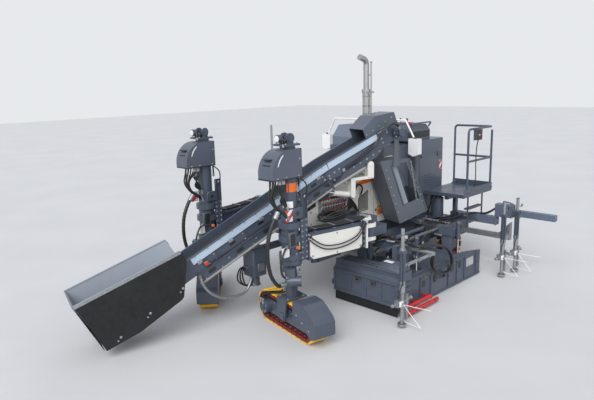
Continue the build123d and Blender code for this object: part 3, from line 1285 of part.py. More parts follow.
def build():
    """Makes every named piece."""
    keep("main_frame", main_frame())
    keep("front_beam", front_beam())
    keep("mould_carriers", *mould_carriers())
    keep("rear_column_sleeves", *rear_sleeves())
    keep("side_panel", side_panel())
    keep("side_grille", side_grille())
    keep("front_housing", front_housing())
    keep("engine_housing", engine_housing())
    keep("engine_block", block(ENGINE_BLOCK_REAR, ENGINE_BLOCK_FRONT, ENGINE_BLOCK_RIGHT,
                               ENGINE_BLOCK_LEFT, BEAM_BOTTOM, ENGINE_BLOCK_TOP))
    keep("engine_hood", engine_hood())
    keep("service_cabinet", cabinet())
    keep("control_console", console())
    keep("operator_deck", operator_deck())
    keep("exhaust_stack", exhaust())
    keep("marker_arch", marker_arch())
    keep("body_masts", *body_masts())
    keep("mould", mould())
    keep("rear_beam", rear_beam())
    keep("fixed_sensor_masts", *fixed_sensors())
    for name, side, y in side_names():
        keep("front_" + name + "_column", front_column(0, y, side))
        keep("front_" + name + "_column_cover", column_cover(0, y))
        keep(name + "_swing_arm", swing_arm(side))
        keep(name + "_arm_panel", arm_panel(side))
        base, eye = swing_cylinder_ends(side)
        keep(name + "_swing_barrel",
             arm_location(side) * cylinder_barrel(base, eye, 520, Vector(0, 0, 1)))
        keep(name + "_swing_rod",
             arm_location(side) * cylinder_rod(base, eye, 520, Vector(0, 0, 1), 240))
    legs = (("front_left", 0, 0, SLEEVE_BOTTOM, LEG_OVERLAP, 45, STEER_FRONT_LEFT),
            ("front_right", 0, RIGHT_Y, SLEEVE_BOTTOM, LEG_OVERLAP, -45, STEER_FRONT_RIGHT),
            ("rear_left", REAR_X, REAR_LEFT_Y, REAR_SLEEVE_BOTTOM, REAR_LEG_OVERLAP, None, 0),
            ("rear_right", REAR_X, RIGHT_Y, REAR_SLEEVE_BOTTOM, REAR_LEG_OVERLAP, None, 0))
    for name, x, y, bottom, overlap, motor, steer in legs:
        keep(name + "_lift_leg", lift_leg(x, y, bottom, overlap, motor))
        place = Pos(x, y, 0) * Rot(0, 0, steer)
        keep(name + "_track_frame", place * track_frame(slew_levels(bottom)[2]))
        keep(name + "_track_loop", place * track_loop())
    keep("conveyor_cradle", cradle())
    base, eye = tilt_cylinder_ends()
    across = Vector(0, 1, 0)
    keep("tilt_barrel", ON_GROUND * cylinder_barrel(base, eye, TILT_BARREL, across))
    keep("tilt_rod", ON_GROUND * cylinder_rod(base, eye, TILT_BARREL, across, TILT_INSIDE))
    keep("conveyor_frame", conveyor_frame())
    keep("conveyor_rollers", *conveyor_rollers())
    keep("head_hood", head_hood())
    keep("conveyor_belt", belt())
    keep("conveyor_side_strips", *side_strips())
    keep("conveyor_hopper", hopper())
    keep("hopper_skirts", *hopper_skirts())
    keep("discharge_chute", chute())
    keep("trimmer_housing", trimmer_housing())
    keep("trimmer_skirt", trimmer_skirt())
    keep("trimmer_drum", trimmer_drum())
    keep("side_form", side_form())
    keep("beam_slide", beam_slide())
    clamp = block(-4155, -4095, 1160, 1240, 940, 1050)
    keep("slide_sensor_mast", sensor_mast(-4080, 1200, SENSOR_FOOT, SENSOR_HEIGHT, clamp))


build()
low = Vector(1e9, 1e9, 1e9)
high = Vector(-1e9, -1e9, -1e9)
for name, shape in NODES.items():
    export_step(shape, "parts/" + name + ".step")
    box = shape.bounding_box()
    low = Vector(min(low.X, box.min.X), min(low.Y, box.min.Y), min(low.Z, box.min.Z))
    high = Vector(max(high.X, box.max.X), max(high.Y, box.max.Y), max(high.Z, box.max.Z))
print("machine box", low, high)
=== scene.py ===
import math
from itertools import product

import bmesh
import bpy
from mathutils import Matrix, Vector


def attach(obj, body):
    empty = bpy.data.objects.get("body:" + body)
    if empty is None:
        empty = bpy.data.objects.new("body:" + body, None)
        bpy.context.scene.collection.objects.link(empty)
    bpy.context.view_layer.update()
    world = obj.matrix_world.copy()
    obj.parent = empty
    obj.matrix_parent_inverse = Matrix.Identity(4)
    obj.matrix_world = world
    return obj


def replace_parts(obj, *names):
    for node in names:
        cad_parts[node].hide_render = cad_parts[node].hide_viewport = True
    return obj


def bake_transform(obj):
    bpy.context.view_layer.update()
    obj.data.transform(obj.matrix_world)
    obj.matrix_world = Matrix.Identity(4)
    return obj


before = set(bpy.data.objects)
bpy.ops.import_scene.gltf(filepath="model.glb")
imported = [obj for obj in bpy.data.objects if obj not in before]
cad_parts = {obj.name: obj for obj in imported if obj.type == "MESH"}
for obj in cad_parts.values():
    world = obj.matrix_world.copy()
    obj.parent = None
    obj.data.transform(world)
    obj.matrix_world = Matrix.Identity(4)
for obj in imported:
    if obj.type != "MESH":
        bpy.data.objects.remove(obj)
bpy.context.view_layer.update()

# Layout frame: X forward, Y left, Z up, from the front left column's axis on the ground
ORIGIN = Vector((1.086, 0.329, 0.0))


# Materials

class Look:
    """A node material and short ways to build its shader."""

    def __init__(self, name):
        self.material = bpy.data.materials.new(name)
        self.material.use_nodes = True
        self.tree = self.material.node_tree
        self.shader = self.tree.nodes["Principled BSDF"]

    def put(self, socket, value):
        """Link an output to the socket, or set its value."""
        if isinstance(value, bpy.types.NodeSocket):
            self.tree.links.new(value, socket)
        else:
            socket.default_value = (*value, 1.0) if socket.type == "RGBA" else value

    def node(self, kind, *values, **settings):
        """A node: values fill its first inputs, settings what they name."""
        made = self.tree.nodes.new("ShaderNode" + kind)
        for key, value in settings.items():
            if key in made.inputs:
                self.put(made.inputs[key], value)
            else:
                setattr(made, key, value)
        for socket, value in zip(made.inputs, values):
            self.put(socket, value)
        return made

    def coordinates(self):
        return self.node("TexCoord").outputs["Object"]

    def noise(self, scale, detail=3, rough=0.55, stretch=None):
        """A noise pattern in the piece's own coordinates."""
        source = self.coordinates()
        if stretch:
            source = self.node("Mapping", source, Scale=stretch).outputs["Vector"]
        made = self.node("TexNoise", source, Scale=scale, Detail=detail, Roughness=rough)
        return made.outputs["Fac"]

    def spread(self, source, low, high, start=0.3, end=0.7):
        """Maps a pattern onto a range of values."""
        return self.node("MapRange", source, start, end, low, high).outputs["Result"]

    def mix(self, factor, first, second):
        """Two colours or outputs mixed by a factor."""
        made = self.node("Mix", factor, data_type="RGBA")
        self.put(made.inputs[6], first)
        self.put(made.inputs[7], second)
        return made.outputs[2]

    def dust(self, amount):
        """More on faces that look up, broken by noise."""
        normal = self.node("NewGeometry").outputs["Normal"]
        up = self.spread(self.node("SeparateXYZ", normal).outputs["Z"], 0, 1, 0.2, 1)
        patch = self.spread(self.noise(2.6, 5), 0, amount)
        return self.node("Math", up, patch, operation="MULTIPLY").outputs[0]

    def finish(self, base, rough, grain, strength, depth, radius=0, **values):
        """Colour, gloss and fine relief; a radius softly rounds sharp edges."""
        bump = self.node("Bump", Strength=strength, Distance=depth, Height=grain)
        if radius:
            bevel = self.node("Bevel", samples=4, Radius=radius)
            self.put(bump.inputs["Normal"], bevel.outputs["Normal"])
        values.update({"Base Color": base, "Roughness": rough, "Normal": bump.outputs["Normal"]})
        for key, value in values.items():
            self.put(self.shader.inputs[key.replace("_", " ")], value)
        return self.material


def darker(colour, share):
    return tuple(value * share for value in colour)


def paint(name, colour, rough, dust, dusty=(0.2, 0.19, 0.175), radius=0.004, coat=0, zone=None):
    """Machine paint with faint orange peel, patchy gloss and dust on what faces up.

    A zone is a direction, how far along it a second colour reaches, and that colour.
    """
    look = Look(name)
    base = look.mix(look.spread(look.noise(1.7, 4), 0, 1), darker(colour, 0.86), colour)
    if zone:
        way, limit, second = zone
        along = look.node("VectorMath", look.coordinates(), way, operation="DOT_PRODUCT")
        step = look.node("Math", along.outputs["Value"], limit, operation="LESS_THAN")
        base = look.mix(step.outputs[0], base, second)
    base = look.mix(look.dust(dust), base, dusty)
    streak = look.noise(7, 5, 0.6, (3, 3, 0.35))
    base = look.mix(look.spread(streak, 0, 0.1, 0.52, 0.8), base, dusty)
    gloss = look.spread(look.noise(5, 6), rough - 0.07, rough + 0.12)
    return look.finish(base, gloss, look.noise(320, 2), 0.05, 0.002, radius, Coat_Weight=coat,
                       Coat_Roughness=0.18)


def galvanised(name, colour=(0.42, 0.44, 0.46), scale=55):
    """Zinc with its spangle."""
    look = Look(name)
    cells = look.node("TexVoronoi", look.coordinates(), Scale=scale).outputs["Color"]
    split = look.node("SeparateColor", cells).outputs
    base = look.mix(look.spread(split[0], 0, 1, 0, 1), darker(colour, 0.72), colour)
    worn = look.spread(look.noise(6, 6), 0, 0.35, 0.5, 0.75)
    base = look.mix(worn, base, (0.3, 0.28, 0.25))
    return look.finish(base, look.spread(split[1], 0.34, 0.56, 0, 1), look.noise(90, 3), 0.12,
                       0.002, 0.003, Metallic=0.75)


def metal(name, colour, rough, stretch=(1, 1, 14), scale=30, wear=(0.2, 0.17, 0.14)):
    """Bare metal with drawn marks."""
    look = Look(name)
    lines = look.noise(scale, 5, 0.65, stretch)
    base = look.mix(look.spread(lines, 0, 0.35, 0.45, 0.75), colour, wear)
    return look.finish(base, look.spread(lines, rough - 0.05, rough + 0.16), lines, 0.08, 0.001,
                       0.002, Metallic=1)


def rubber(name, colour, rough, scale, dust, relief=0.25, radius=0.002):
    """Black rubber with pale dust in its grain."""
    look = Look(name)
    patch = look.spread(look.noise(3.2, 6, 0.65), 0, dust, 0.45, 0.8)
    base = look.mix(patch, colour, (0.12, 0.115, 0.105))
    base = look.mix(look.dust(dust), base, (0.17, 0.165, 0.155))
    return look.finish(base, look.spread(look.noise(12, 5), rough - 0.1, rough + 0.12),
                       look.noise(scale, 4), relief, 0.002, radius)


def pad_plastic(name):
    """Yellow polyurethane with scuffs and grey dirt on its wearing face."""
    look = Look(name)
    scuff = look.noise(22, 7, 0.7)
    base = look.mix(look.spread(scuff, 0, 0.55, 0.5, 0.78), (0.86, 0.5, 0.02), (0.34, 0.25, 0.1))
    patch = look.spread(look.noise(4, 4), 0, 0.4, 0.45, 0.7)
    base = look.mix(patch, base, (0.7, 0.44, 0.06))
    return look.finish(base, look.spread(scuff, 0.42, 0.7), scuff, 0.25, 0.003, 0.004)


def lens(name, colour):
    """Moulded glassy plastic with fine ribs."""
    look = Look(name)
    ribs = look.node("TexWave", look.coordinates(), Scale=38, Distortion=0.6).outputs["Fac"]
    base = look.mix(look.spread(ribs, 0, 1, 0, 1), darker(colour, 0.6), colour)
    return look.finish(base, 0.12, ribs, 0.2, 0.002, Coat_Weight=0.6)


def striped(name, first, second, turn, width):
    """Diagonal warning stripes of two colours; the turn tilts them."""
    look = Look(name)
    turned_place = look.node("Mapping", look.coordinates(), Rotation=turn).outputs["Vector"]
    across = look.node("SeparateXYZ", turned_place).outputs["X"]
    pairs = look.node("Math", across, width * 2, operation="DIVIDE").outputs[0]
    part = look.node("Math", pairs, operation="FRACT").outputs[0]
    step = look.node("Math", part, 0.5, operation="GREATER_THAN").outputs[0]
    worn = look.spread(look.noise(30, 5), 0, 0.25, 0.5, 0.8)
    base = look.mix(worn, look.mix(step, first, second), (0.3, 0.28, 0.26))
    return look.finish(base, 0.35, look.noise(200), 0.08, 0.001)


DARK_TONE = (0.062, 0.077, 0.112)
CREAM_TONE = (0.8, 0.785, 0.735)
DARK = paint("dark_paint", DARK_TONE, 0.36, 0.2, (0.16, 0.17, 0.19), 0.005, 0.25)
DARKER = paint("dark_paint_low", (0.08, 0.096, 0.132), 0.42, 0.26, (0.17, 0.17, 0.17), 0.005)
GREY_PANEL = paint("housing_paint", (0.084, 0.099, 0.134), 0.34, 0.2, (0.19, 0.2, 0.215), 0.006,
                   0.3)
HOOD_PAINT = paint("hood_paint", (0.135, 0.16, 0.22), 0.34, 0.2, (0.24, 0.26, 0.3), 0.006, 0.3)
BEAM_PAINT = paint("beam_paint", (0.12, 0.147, 0.205), 0.4, 0.18, (0.2, 0.21, 0.23), 0.005)
# Lighter slate: the chute's own paint, also used for painted highlights on the trimmer and side
# form
CHUTE_AND_HIGHLIGHT_PAINT = paint("chute_and_highlight_paint", (0.105, 0.118, 0.143), 0.42, 0.2, (0.21, 0.215, 0.22))
CREAM = paint("cream_paint", CREAM_TONE, 0.36, 0.08, (0.5, 0.47, 0.42), 0.005, 0.3)
WHITE = paint("white_paint", (0.88, 0.88, 0.87), 0.34, 0.08, (0.5, 0.48, 0.45), 0.004, 0.3)
STRIP = paint("light_strip_paint", (0.48, 0.59, 0.72), 0.34, 0.15, (0.35, 0.35, 0.34), 0.004, 0.2)
CHORD = paint("chord_paint", (0.3, 0.29, 0.265), 0.4, 0.15, (0.35, 0.33, 0.3))
HOPPER_GREY = paint("hopper_paint", (0.246, 0.279, 0.328), 0.42, 0.3, (0.36, 0.35, 0.33))
RED_CHAIN = paint("dark_red_paint", (0.2, 0.018, 0.016), 0.45, 0.2, (0.12, 0.09, 0.08), 0.003)
BRIGHT_RED = paint("bright_red_paint", (0.58, 0.022, 0.02), 0.34, 0.1, (0.3, 0.2, 0.18))
ORANGE = paint("orange_paint", (0.85, 0.16, 0.01), 0.36, 0.05, (0.4, 0.3, 0.2), 0.002)
ENGINE = paint("engine_paint", (0.06, 0.06, 0.065), 0.5, 0.3)
YELLOW = pad_plastic("pad_yellow")
ZINC = galvanised("galvanised")
ZINC_DARK = galvanised("galvanised_dull", (0.24, 0.25, 0.26), 40)
STEEL = metal("worn_steel", (0.34, 0.32, 0.3), 0.42)
CHROME = metal("rod_chrome", (0.78, 0.78, 0.79), 0.1, (1, 1, 30), 18, (0.6, 0.6, 0.6))
PICK = metal("pick_steel", (0.24, 0.2, 0.16), 0.55, (1, 1, 1), 26, (0.1, 0.06, 0.04))
STACK = metal("stack_steel", (0.5, 0.5, 0.49), 0.36, (1, 1, 6), 20, (0.45, 0.43, 0.4))
RUBBER = rubber("black_rubber", (0.007, 0.008, 0.009), 0.7, 140, 0.06)
BELT = rubber("belt_rubber", (0.026, 0.03, 0.036), 0.7, 90, 0.12, 0.3)
HOSE = rubber("hose_rubber", (0.014, 0.014, 0.015), 0.42, 260, 0.12, 0.12, 0)
# Black plastic parts; its black sheets in slots and holes are painted shade
PLASTIC_AND_SHADE = rubber("black_plastic_and_painted_shade", (0.02, 0.02, 0.022), 0.38, 300, 0.1, 0.08)
STRIPES = striped("warning_stripes", (0.8, 0.79, 0.77), (0.62, 0.03, 0.03),
                  (0, math.radians(45), 0), 0.045)
LAMP_GLASS = lens("lamp_glass", (0.75, 0.76, 0.76))
RED_LENS = lens("red_lens", (0.55, 0.02, 0.02))

# What each node wears; the others are in the dark body paint
NODE_LOOKS = (
    (CREAM, "side_panel left_arm_panel right_arm_panel conveyor_cradle tilt_barrel"),
    (WHITE, "marker_arch"),
    (STRIP, "conveyor_side_strips"),
    (HOPPER_GREY, "conveyor_hopper"),
    (RUBBER, "hopper_skirts trimmer_skirt"),
    (BELT, "conveyor_belt"),
    (GREY_PANEL, "service_cabinet engine_housing control_console front_left_column_cover "
                 "front_right_column_cover head_hood"),
    (CHUTE_AND_HIGHLIGHT_PAINT, "discharge_chute"),
    (HOOD_PAINT, "engine_hood"),
    (CHORD, "side_grille"),
    (ZINC, "body_masts fixed_sensor_masts slide_sensor_mast"),
    (STACK, "exhaust_stack"),
    (CHROME, "left_swing_rod right_swing_rod tilt_rod"),
    (ENGINE, "engine_block"),
    (PICK, "trimmer_drum"),
    (DARKER, "mould mould_carriers side_form trimmer_housing main_frame"),
    (BEAM_PAINT, "rear_beam beam_slide"),
    (ZINC_DARK, "conveyor_rollers"),
    (YELLOW, "front_left_track_loop front_right_track_loop rear_left_track_loop "
             "rear_right_track_loop"),
)
LOOK_OF = {name: material for material, names in NODE_LOOKS for name in names.split()}
for name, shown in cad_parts.items():
    chosen = LOOK_OF.get(name, DARK)
    if not shown.material_slots:
        shown.data.materials.append(chosen)
    for place in shown.material_slots:
        place.material = chosen


# Pieces made in mesh code

SHARP_ANGLE = math.radians(38)
# A crimped fitting's size in radii of its hose
FITTING_LENGTH = 3.2
FITTING_RADIUS = 1.35
# Angles of six bolts round a cap, in radians
SIX_BOLTS = (0.5, 1.55, 2.6, 3.65, 4.7, 5.75)


def at(x, y, z):
    """A layout point in the object's frame."""
    return Vector((x, y, z)) + ORIGIN


def turned(x, y, degrees):
    """An upright turn about a layout point, with local X forward."""
    return Matrix.Translation((x, y, 0)) @ Matrix.Rotation(math.radians(degrees), 4, "Z")


def row(start, step, count):
    """Evenly spaced numbers."""
    return [start + step * k for k in range(count)]


def grid(*ranges):
    """All points whose coordinates come from three numbers or rows of numbers."""
    return list(product(*(span if isinstance(span, (tuple, list)) else (span,)
                          for span in ranges)))


def ring(centre, radius, axis, angles):
    """Points at some angles on a circle round an upright (z) or a crosswise (y) axis."""
    x, y, z = centre
    if axis == "z":
        return [(x + radius * math.cos(a), y + radius * math.sin(a), z) for a in angles]
    return [(x + radius * math.cos(a), y, z + radius * math.sin(a)) for a in angles]


def on_axis(axis, u, v, w):
    """The point that lies w along the named axis, with u and v on the other two in order."""
    return {"x": (w, u, v), "y": (u, w, v), "z": (u, v, w)}[axis]


def strip(low, high, half):
    """Outline of a straight strip between two points of a plane."""
    low, high = Vector(low), Vector(high)
    way = (high - low).normalized() * half
    out = Vector((-way.y, way.x))
    return [tuple(point) for point in (low + out, high + out, high - out, low - out)]


def smooth_path(points, steps):
    """Points on a smooth curve through the given ones."""
    points = [Vector(point) for point in points]
    if len(points) < 3:
        return points
    ends = [points[0] * 2 - points[1]] + points + [points[-1] * 2 - points[-2]]
    path = []
    for i in range(1, len(ends) - 2):
        a, b, c, d = ends[i - 1:i + 3]
        for step in range(steps):
            t = step / steps
            path.append(0.5 * (2 * b + (c - a) * t + (2 * a - 5 * b + 4 * c - d) * t * t
                               + (3 * b - a - 3 * c + d) * t ** 3))
    return path + [points[-1]]


def circle(centre, side, other, radius, sides):
    """Points round a centre in the plane of two directions."""
    angles = [2 * math.pi * k / sides for k in range(sides)]
    return [centre + side * radius * math.cos(a) + other * radius * math.sin(a) for a in angles]


class Piece:
    """One visible piece: many simple forms joined in one mesh that rides on a body.

    While side is -1 new forms are mirrored across Y; turn then places them in the piece.
    """

    def __init__(self, name, body, place=None, screws=ZINC):
        self.name = name
        self.body = body
        self.place = Matrix.Translation(ORIGIN) @ (place or Matrix())
        self.screws = screws
        self.side = 1
        self.turn = Matrix()
        self.mesh = bmesh.new()
        self.materials = []

    def spot(self, point):
        """A form's own point, mirrored and turned as the piece now says."""
        x, y, z = point
        return self.turn @ Vector((x, y * self.side, z))

    def paint(self, faces, material, smooth=False):
        if material not in self.materials:
            self.materials.append(material)
        for face in faces:
            face.material_index = self.materials.index(material)
            face.smooth = smooth

    def solid(self, verts, faces, material, bevel):
        """Flat faces between points, with their edges broken by a bevel."""
        made = [self.mesh.verts.new(self.turn @ Vector(vert)) for vert in verts]
        shown = [self.mesh.faces.new([made[i] for i in face]) for face in faces]
        self.paint(shown, material)
        bmesh.ops.recalc_face_normals(self.mesh, faces=shown)
        if bevel > 0:
            edges = list({edge for face in shown for edge in face.edges})
            done = bmesh.ops.bevel(self.mesh, geom=made + edges, offset=bevel, segments=1,
                                   affect="EDGES", clamp_overlap=True)
            self.paint(done["faces"], material)

    def box(self, low, high, material, bevel=0.004):
        x, y, z = zip(low, high)
        spans = [sorted(x), sorted(value * self.side for value in y), sorted(z)]
        (x0, x1), (y0, y1), (z0, z1) = spans
        verts = [(x0, y0, z0), (x1, y0, z0), (x1, y1, z0), (x0, y1, z0),
                 (x0, y0, z1), (x1, y0, z1), (x1, y1, z1), (x0, y1, z1)]
        faces = [(3, 2, 1, 0), (4, 5, 6, 7), (0, 1, 5, 4), (1, 2, 6, 5), (2, 3, 7, 6), (3, 0, 4, 7)]
        self.solid(verts, faces, material, min(bevel, 0.35 * min(b - a for a, b in spans)))

    def boxes(self, material, bevel, *rows):
        """Boxes given as rows of X, Y and Z of one corner, then of the other."""
        for numbers in rows:
            self.box(numbers[:3], numbers[3:], material, bevel)

    def prism(self, outline, low, high, axis, material, bevel=0.003):
        """A flat outline carried along one axis; the outline gives the other two in order."""
        count = len(outline)
        verts = [on_axis(axis, u, v, w) for w in (low, high) for u, v in outline]
        verts = [(x, y * self.side, z) for x, y, z in verts]
        faces = [tuple(range(count)), tuple(range(2 * count - 1, count - 1, -1))]
        faces += [(i, i + count, (i + 1) % count + count, (i + 1) % count) for i in range(count)]
        self.solid(verts, faces, material, bevel)

    def tube(self, rings, material, smooth_caps):
        """Rings of points joined in a closed skin."""
        rings = [[self.mesh.verts.new(point) for point in points] for points in rings]
        skin = [self.mesh.faces.new((low[k - 1], low[k], high[k], high[k - 1]))
                for low, high in zip(rings, rings[1:]) for k in range(len(low))]
        self.paint(skin, material, True)
        caps = [self.mesh.faces.new(rings[0][::-1]), self.mesh.faces.new(rings[-1])]
        self.paint(caps, material, smooth_caps)

    def lathe(self, start, end, profile, material, sides=20):
        """Round form from start to end; profile rows are metres along the axis and radius."""
        start, end = self.spot(start), self.spot(end)
        axis = (end - start).normalized()
        side = axis.orthogonal().normalized()
        other = axis.cross(side)
        self.tube([circle(start + axis * along, side, other, radius, sides)
                   for along, radius in profile], material, False)

    def rod(self, start, end, radius, material, sides=20, chamfer=0.003):
        """A round bar with chamfered ends."""
        length = (Vector(end) - Vector(start)).length
        chamfer = min(chamfer, radius * 0.3, length * 0.3)
        self.lathe(start, end, [(0, radius - chamfer), (chamfer, radius),
                                (length - chamfer, radius), (length, radius - chamfer)],
                   material, sides)

    def pin(self, axis, u, v, low, high, radius, material, sides=20, chamfer=0.003):
        """A rod along one axis; u and v are its place on the other two in order."""
        self.rod(on_axis(axis, u, v, low), on_axis(axis, u, v, high), radius, material, sides,
                 chamfer)

    def hose(self, points, radius, steps=6, material=HOSE, sides=8, ribs=0.0, fittings=True):
        """A held hose on a smooth path, with crimped fittings at its ends."""
        local = smooth_path(points, steps)
        path = [self.spot(point) for point in local]
        rings = []
        side = (path[1] - path[0]).orthogonal().normalized()
        for i, centre in enumerate(path):
            way = (path[min(i + 1, len(path) - 1)] - path[max(i - 1, 0)]).normalized()
            side = (side - way * side.dot(way)).normalized()
            rings.append(circle(centre, side, way.cross(side), radius * (1 + ribs * (i % 2)),
                                sides))
        self.tube(rings, material, True)
        if fittings:
            for end, inner in ((local[0], local[1]), (local[-1], local[-2])):
                way = (inner - end).normalized() * radius
                self.rod(end - way, end + way * FITTING_LENGTH, radius * FITTING_RADIUS, ZINC, 10)

    def loop(self, points, radius, steps, material, sides):
        """A bare bent bar or cable without fittings."""
        self.hose(points, radius, steps, material, sides, 0.0, False)

    def bolts(self, points, axis, radius=0.011, material=None):
        """Washers with hexagon heads that look along an axis or a direction."""
        if isinstance(axis, str):
            axis = on_axis(axis[-1], 0, 0, -1 if axis[0] == "-" else 1)
        axis = Vector(axis).normalized()
        material = material or self.screws
        for point in points:
            point = Vector(point)
            self.rod(point - axis * 0.002, point + axis * 0.0025, radius * 1.5, material, 12, 0.001)
            self.lathe(point, point + axis, [(0.002, radius), (radius * 0.8, radius),
                                             (radius, radius * 0.8)], material, 6)

    def finish(self, across=None):
        """Make the mesh; across holds a second body and the points where a bend would start and
        end, but only its presence is used: the mesh is then baked in place and attached to no body.
        """
        mesh = bpy.data.meshes.new(self.name)
        self.mesh.transform(self.place)
        self.mesh.to_mesh(mesh)
        self.mesh.free()
        for material in self.materials:
            mesh.materials.append(material)
        mesh.set_sharp_from_angle(angle=SHARP_ANGLE)
        shown = bpy.data.objects.new(self.name, mesh)
        bpy.context.collection.objects.link(shown)
        if across:
            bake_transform(shown)
        else:
            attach(shown, self.body)
        return shown


# Crawler tracks

PITCH_RADIUS = 0.163
PADS_ROUND = 9
PADS_ALONG = 8
PITCH = 2 * math.pi * PITCH_RADIUS / PADS_ROUND
HALF_CENTRES = PADS_ALONG * PITCH / 2
AXLE_Z = 0.22
PAD = [(-0.0455, -0.196), (0.0455, -0.196), (0.0455, -0.212), (0.0365, -0.2197),
       (-0.0365, -0.2197), (-0.0455, -0.212)]
LINK = [(-0.06, -0.181), (0.046, -0.181), (0.055, -0.16), (0.046, -0.1475), (-0.046, -0.1475),
        (-0.06, -0.16)]
# Name, X, Y, steering angle
TRACKS = (("front_left", 0, 0, 79), ("front_right", 0, -1.83, 50),
          ("rear_left", -3.82, -0.15, 0), ("rear_right", -3.82, -1.83, 0))


def pad_place(step):
    """Place of a shoe at a step of the pitch, counted round the loop from the rear."""
    round_front = PADS_ALONG + PADS_ROUND / 2
    turn = 0
    if step <= PADS_ALONG:
        x = step * PITCH - HALF_CENTRES
    elif step < round_front:
        turn, x = (step - PADS_ALONG) * 360 / PADS_ROUND, HALF_CENTRES
    elif step <= round_front + PADS_ALONG:
        turn, x = 180, HALF_CENTRES - (step - round_front) * PITCH
    else:
        turn, x = 180 + (step - round_front - PADS_ALONG) * 360 / PADS_ROUND, -HALF_CENTRES
    return Matrix.Translation((x, 0, AXLE_Z)) @ Matrix.Rotation(math.radians(-turn), 4, "Y")


def track_loop(name, x, y, angle):
    """Chain links, dark red shoes and yellow pads in the loop's outline."""
    loop = Piece(name + "_chain_and_pads", name + "_track", turned(x, y, angle), ZINC_DARK)
    for step in range(2 * PADS_ALONG + PADS_ROUND):
        loop.turn = pad_place(step)
        loop.prism(PAD, -0.1345, 0.1345, "y", YELLOW, 0.004)
        loop.box((-0.053, -0.134, -0.1965), (0.05, 0.134, -0.181), RED_CHAIN, 0.003)
        inner = 0.046 if step % 2 else 0.058
        for loop.side in (-1, 1):
            loop.box((-0.046, 0.122, -0.182), (0.046, 0.132, -0.152), RED_CHAIN, 0.003)
            loop.prism(LINK, inner, inner + 0.016, "y", RED_CHAIN, 0.002)
            loop.pin("y", 0.05, -0.163, 0.03, 0.079, 0.014, STEEL, 10)
            loop.bolts(grid((-0.022, 0.022), 0.098, -0.181), "z", 0.009)
    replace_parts(loop.finish(), name + "_track_loop")


def track_fittings(name, x, y, angle):
    """Bolts of frame, fender and yoke, sprocket teeth, and the motor with its hoses."""
    fit = Piece(name + "_track_fittings", name + "_track", turned(x, y, angle))
    rear, face = -HALF_CENTRES, 0.0992
    for fit.side in (-1, 1):
        fit.bolts(grid((-0.3, -0.15, 0.15, 0.3), face, (0.15, 0.288)), "y", 0.011, ZINC_DARK)
        fit.bolts(ring((rear, face, AXLE_Z), 0.062, "y", (0.5, 1.57, 2.64, 3.67, 4.71, 5.75)), "y",
                  0.009, ZINC_DARK)
        fit.pin("y", HALF_CENTRES, AXLE_Z, face, face + 0.022, 0.052, DARK, 24)
        fit.pin("y", 0, AXLE_Z, 0.166, 0.18, 0.052, DARK, 24)
        fit.bolts([(0.33, 0.1552, 0.34), (0.46, 0.1552, 0.28), (0.6, 0.1552, 0.22)], "y", 0.01)
    for a in row(0, 2 * math.pi / 11, 11):
        root, tip = (ring((rear, 0, AXLE_Z), radius, "y", (a,))[0] for radius in (0.1, 0.138))
        fit.lathe(root, tip, [(0, 0.03), (0.02, 0.024), (0.038, 0.012)], STEEL, 8)
    # Motor on the inner side
    fit.pin("y", rear, AXLE_Z, -0.174, -0.19, 0.098, DARK, 28)
    fit.bolts(ring((rear, -0.19, AXLE_Z), 0.078, "y", (0.3, 1.35, 2.4, 3.44, 4.5, 5.5)), "-y",
              0.009)
    fit.box((rear - 0.045, -0.212, AXLE_Z - 0.045), (rear + 0.045, -0.176, AXLE_Z + 0.055), DARK,
            0.006)
    for offset in (-0.028, 0.028):
        x = rear + offset
        fit.pin("z", x, -0.198, AXLE_Z + 0.03, AXLE_Z + 0.1, 0.014, ZINC, 10)
        fit.hose([(x, -0.198, AXLE_Z + 0.09), (x + 0.03, -0.198, AXLE_Z + 0.19),
                  (-0.28 + offset, -0.12, 0.46), (-0.13 + offset, -0.07, 0.5),
                  (-0.09 + offset, -0.03, 0.56)], 0.013)
    # Crown bolts on the yoke
    fit.bolts(grid((-0.09, 0.09), (-0.12, 0.12), 0.4722), "z", 0.012)
    fit.finish()


for numbers in TRACKS:
    track_loop(*numbers)
    track_fittings(*numbers)


# Front columns

DECAL = [(0.3, 2.235), (0.288, 2.232), (0.262, 2.285), (0.232, 2.33), (0.196, 2.366),
         (0.2, 2.378), (0.243, 2.346), (0.277, 2.3)]


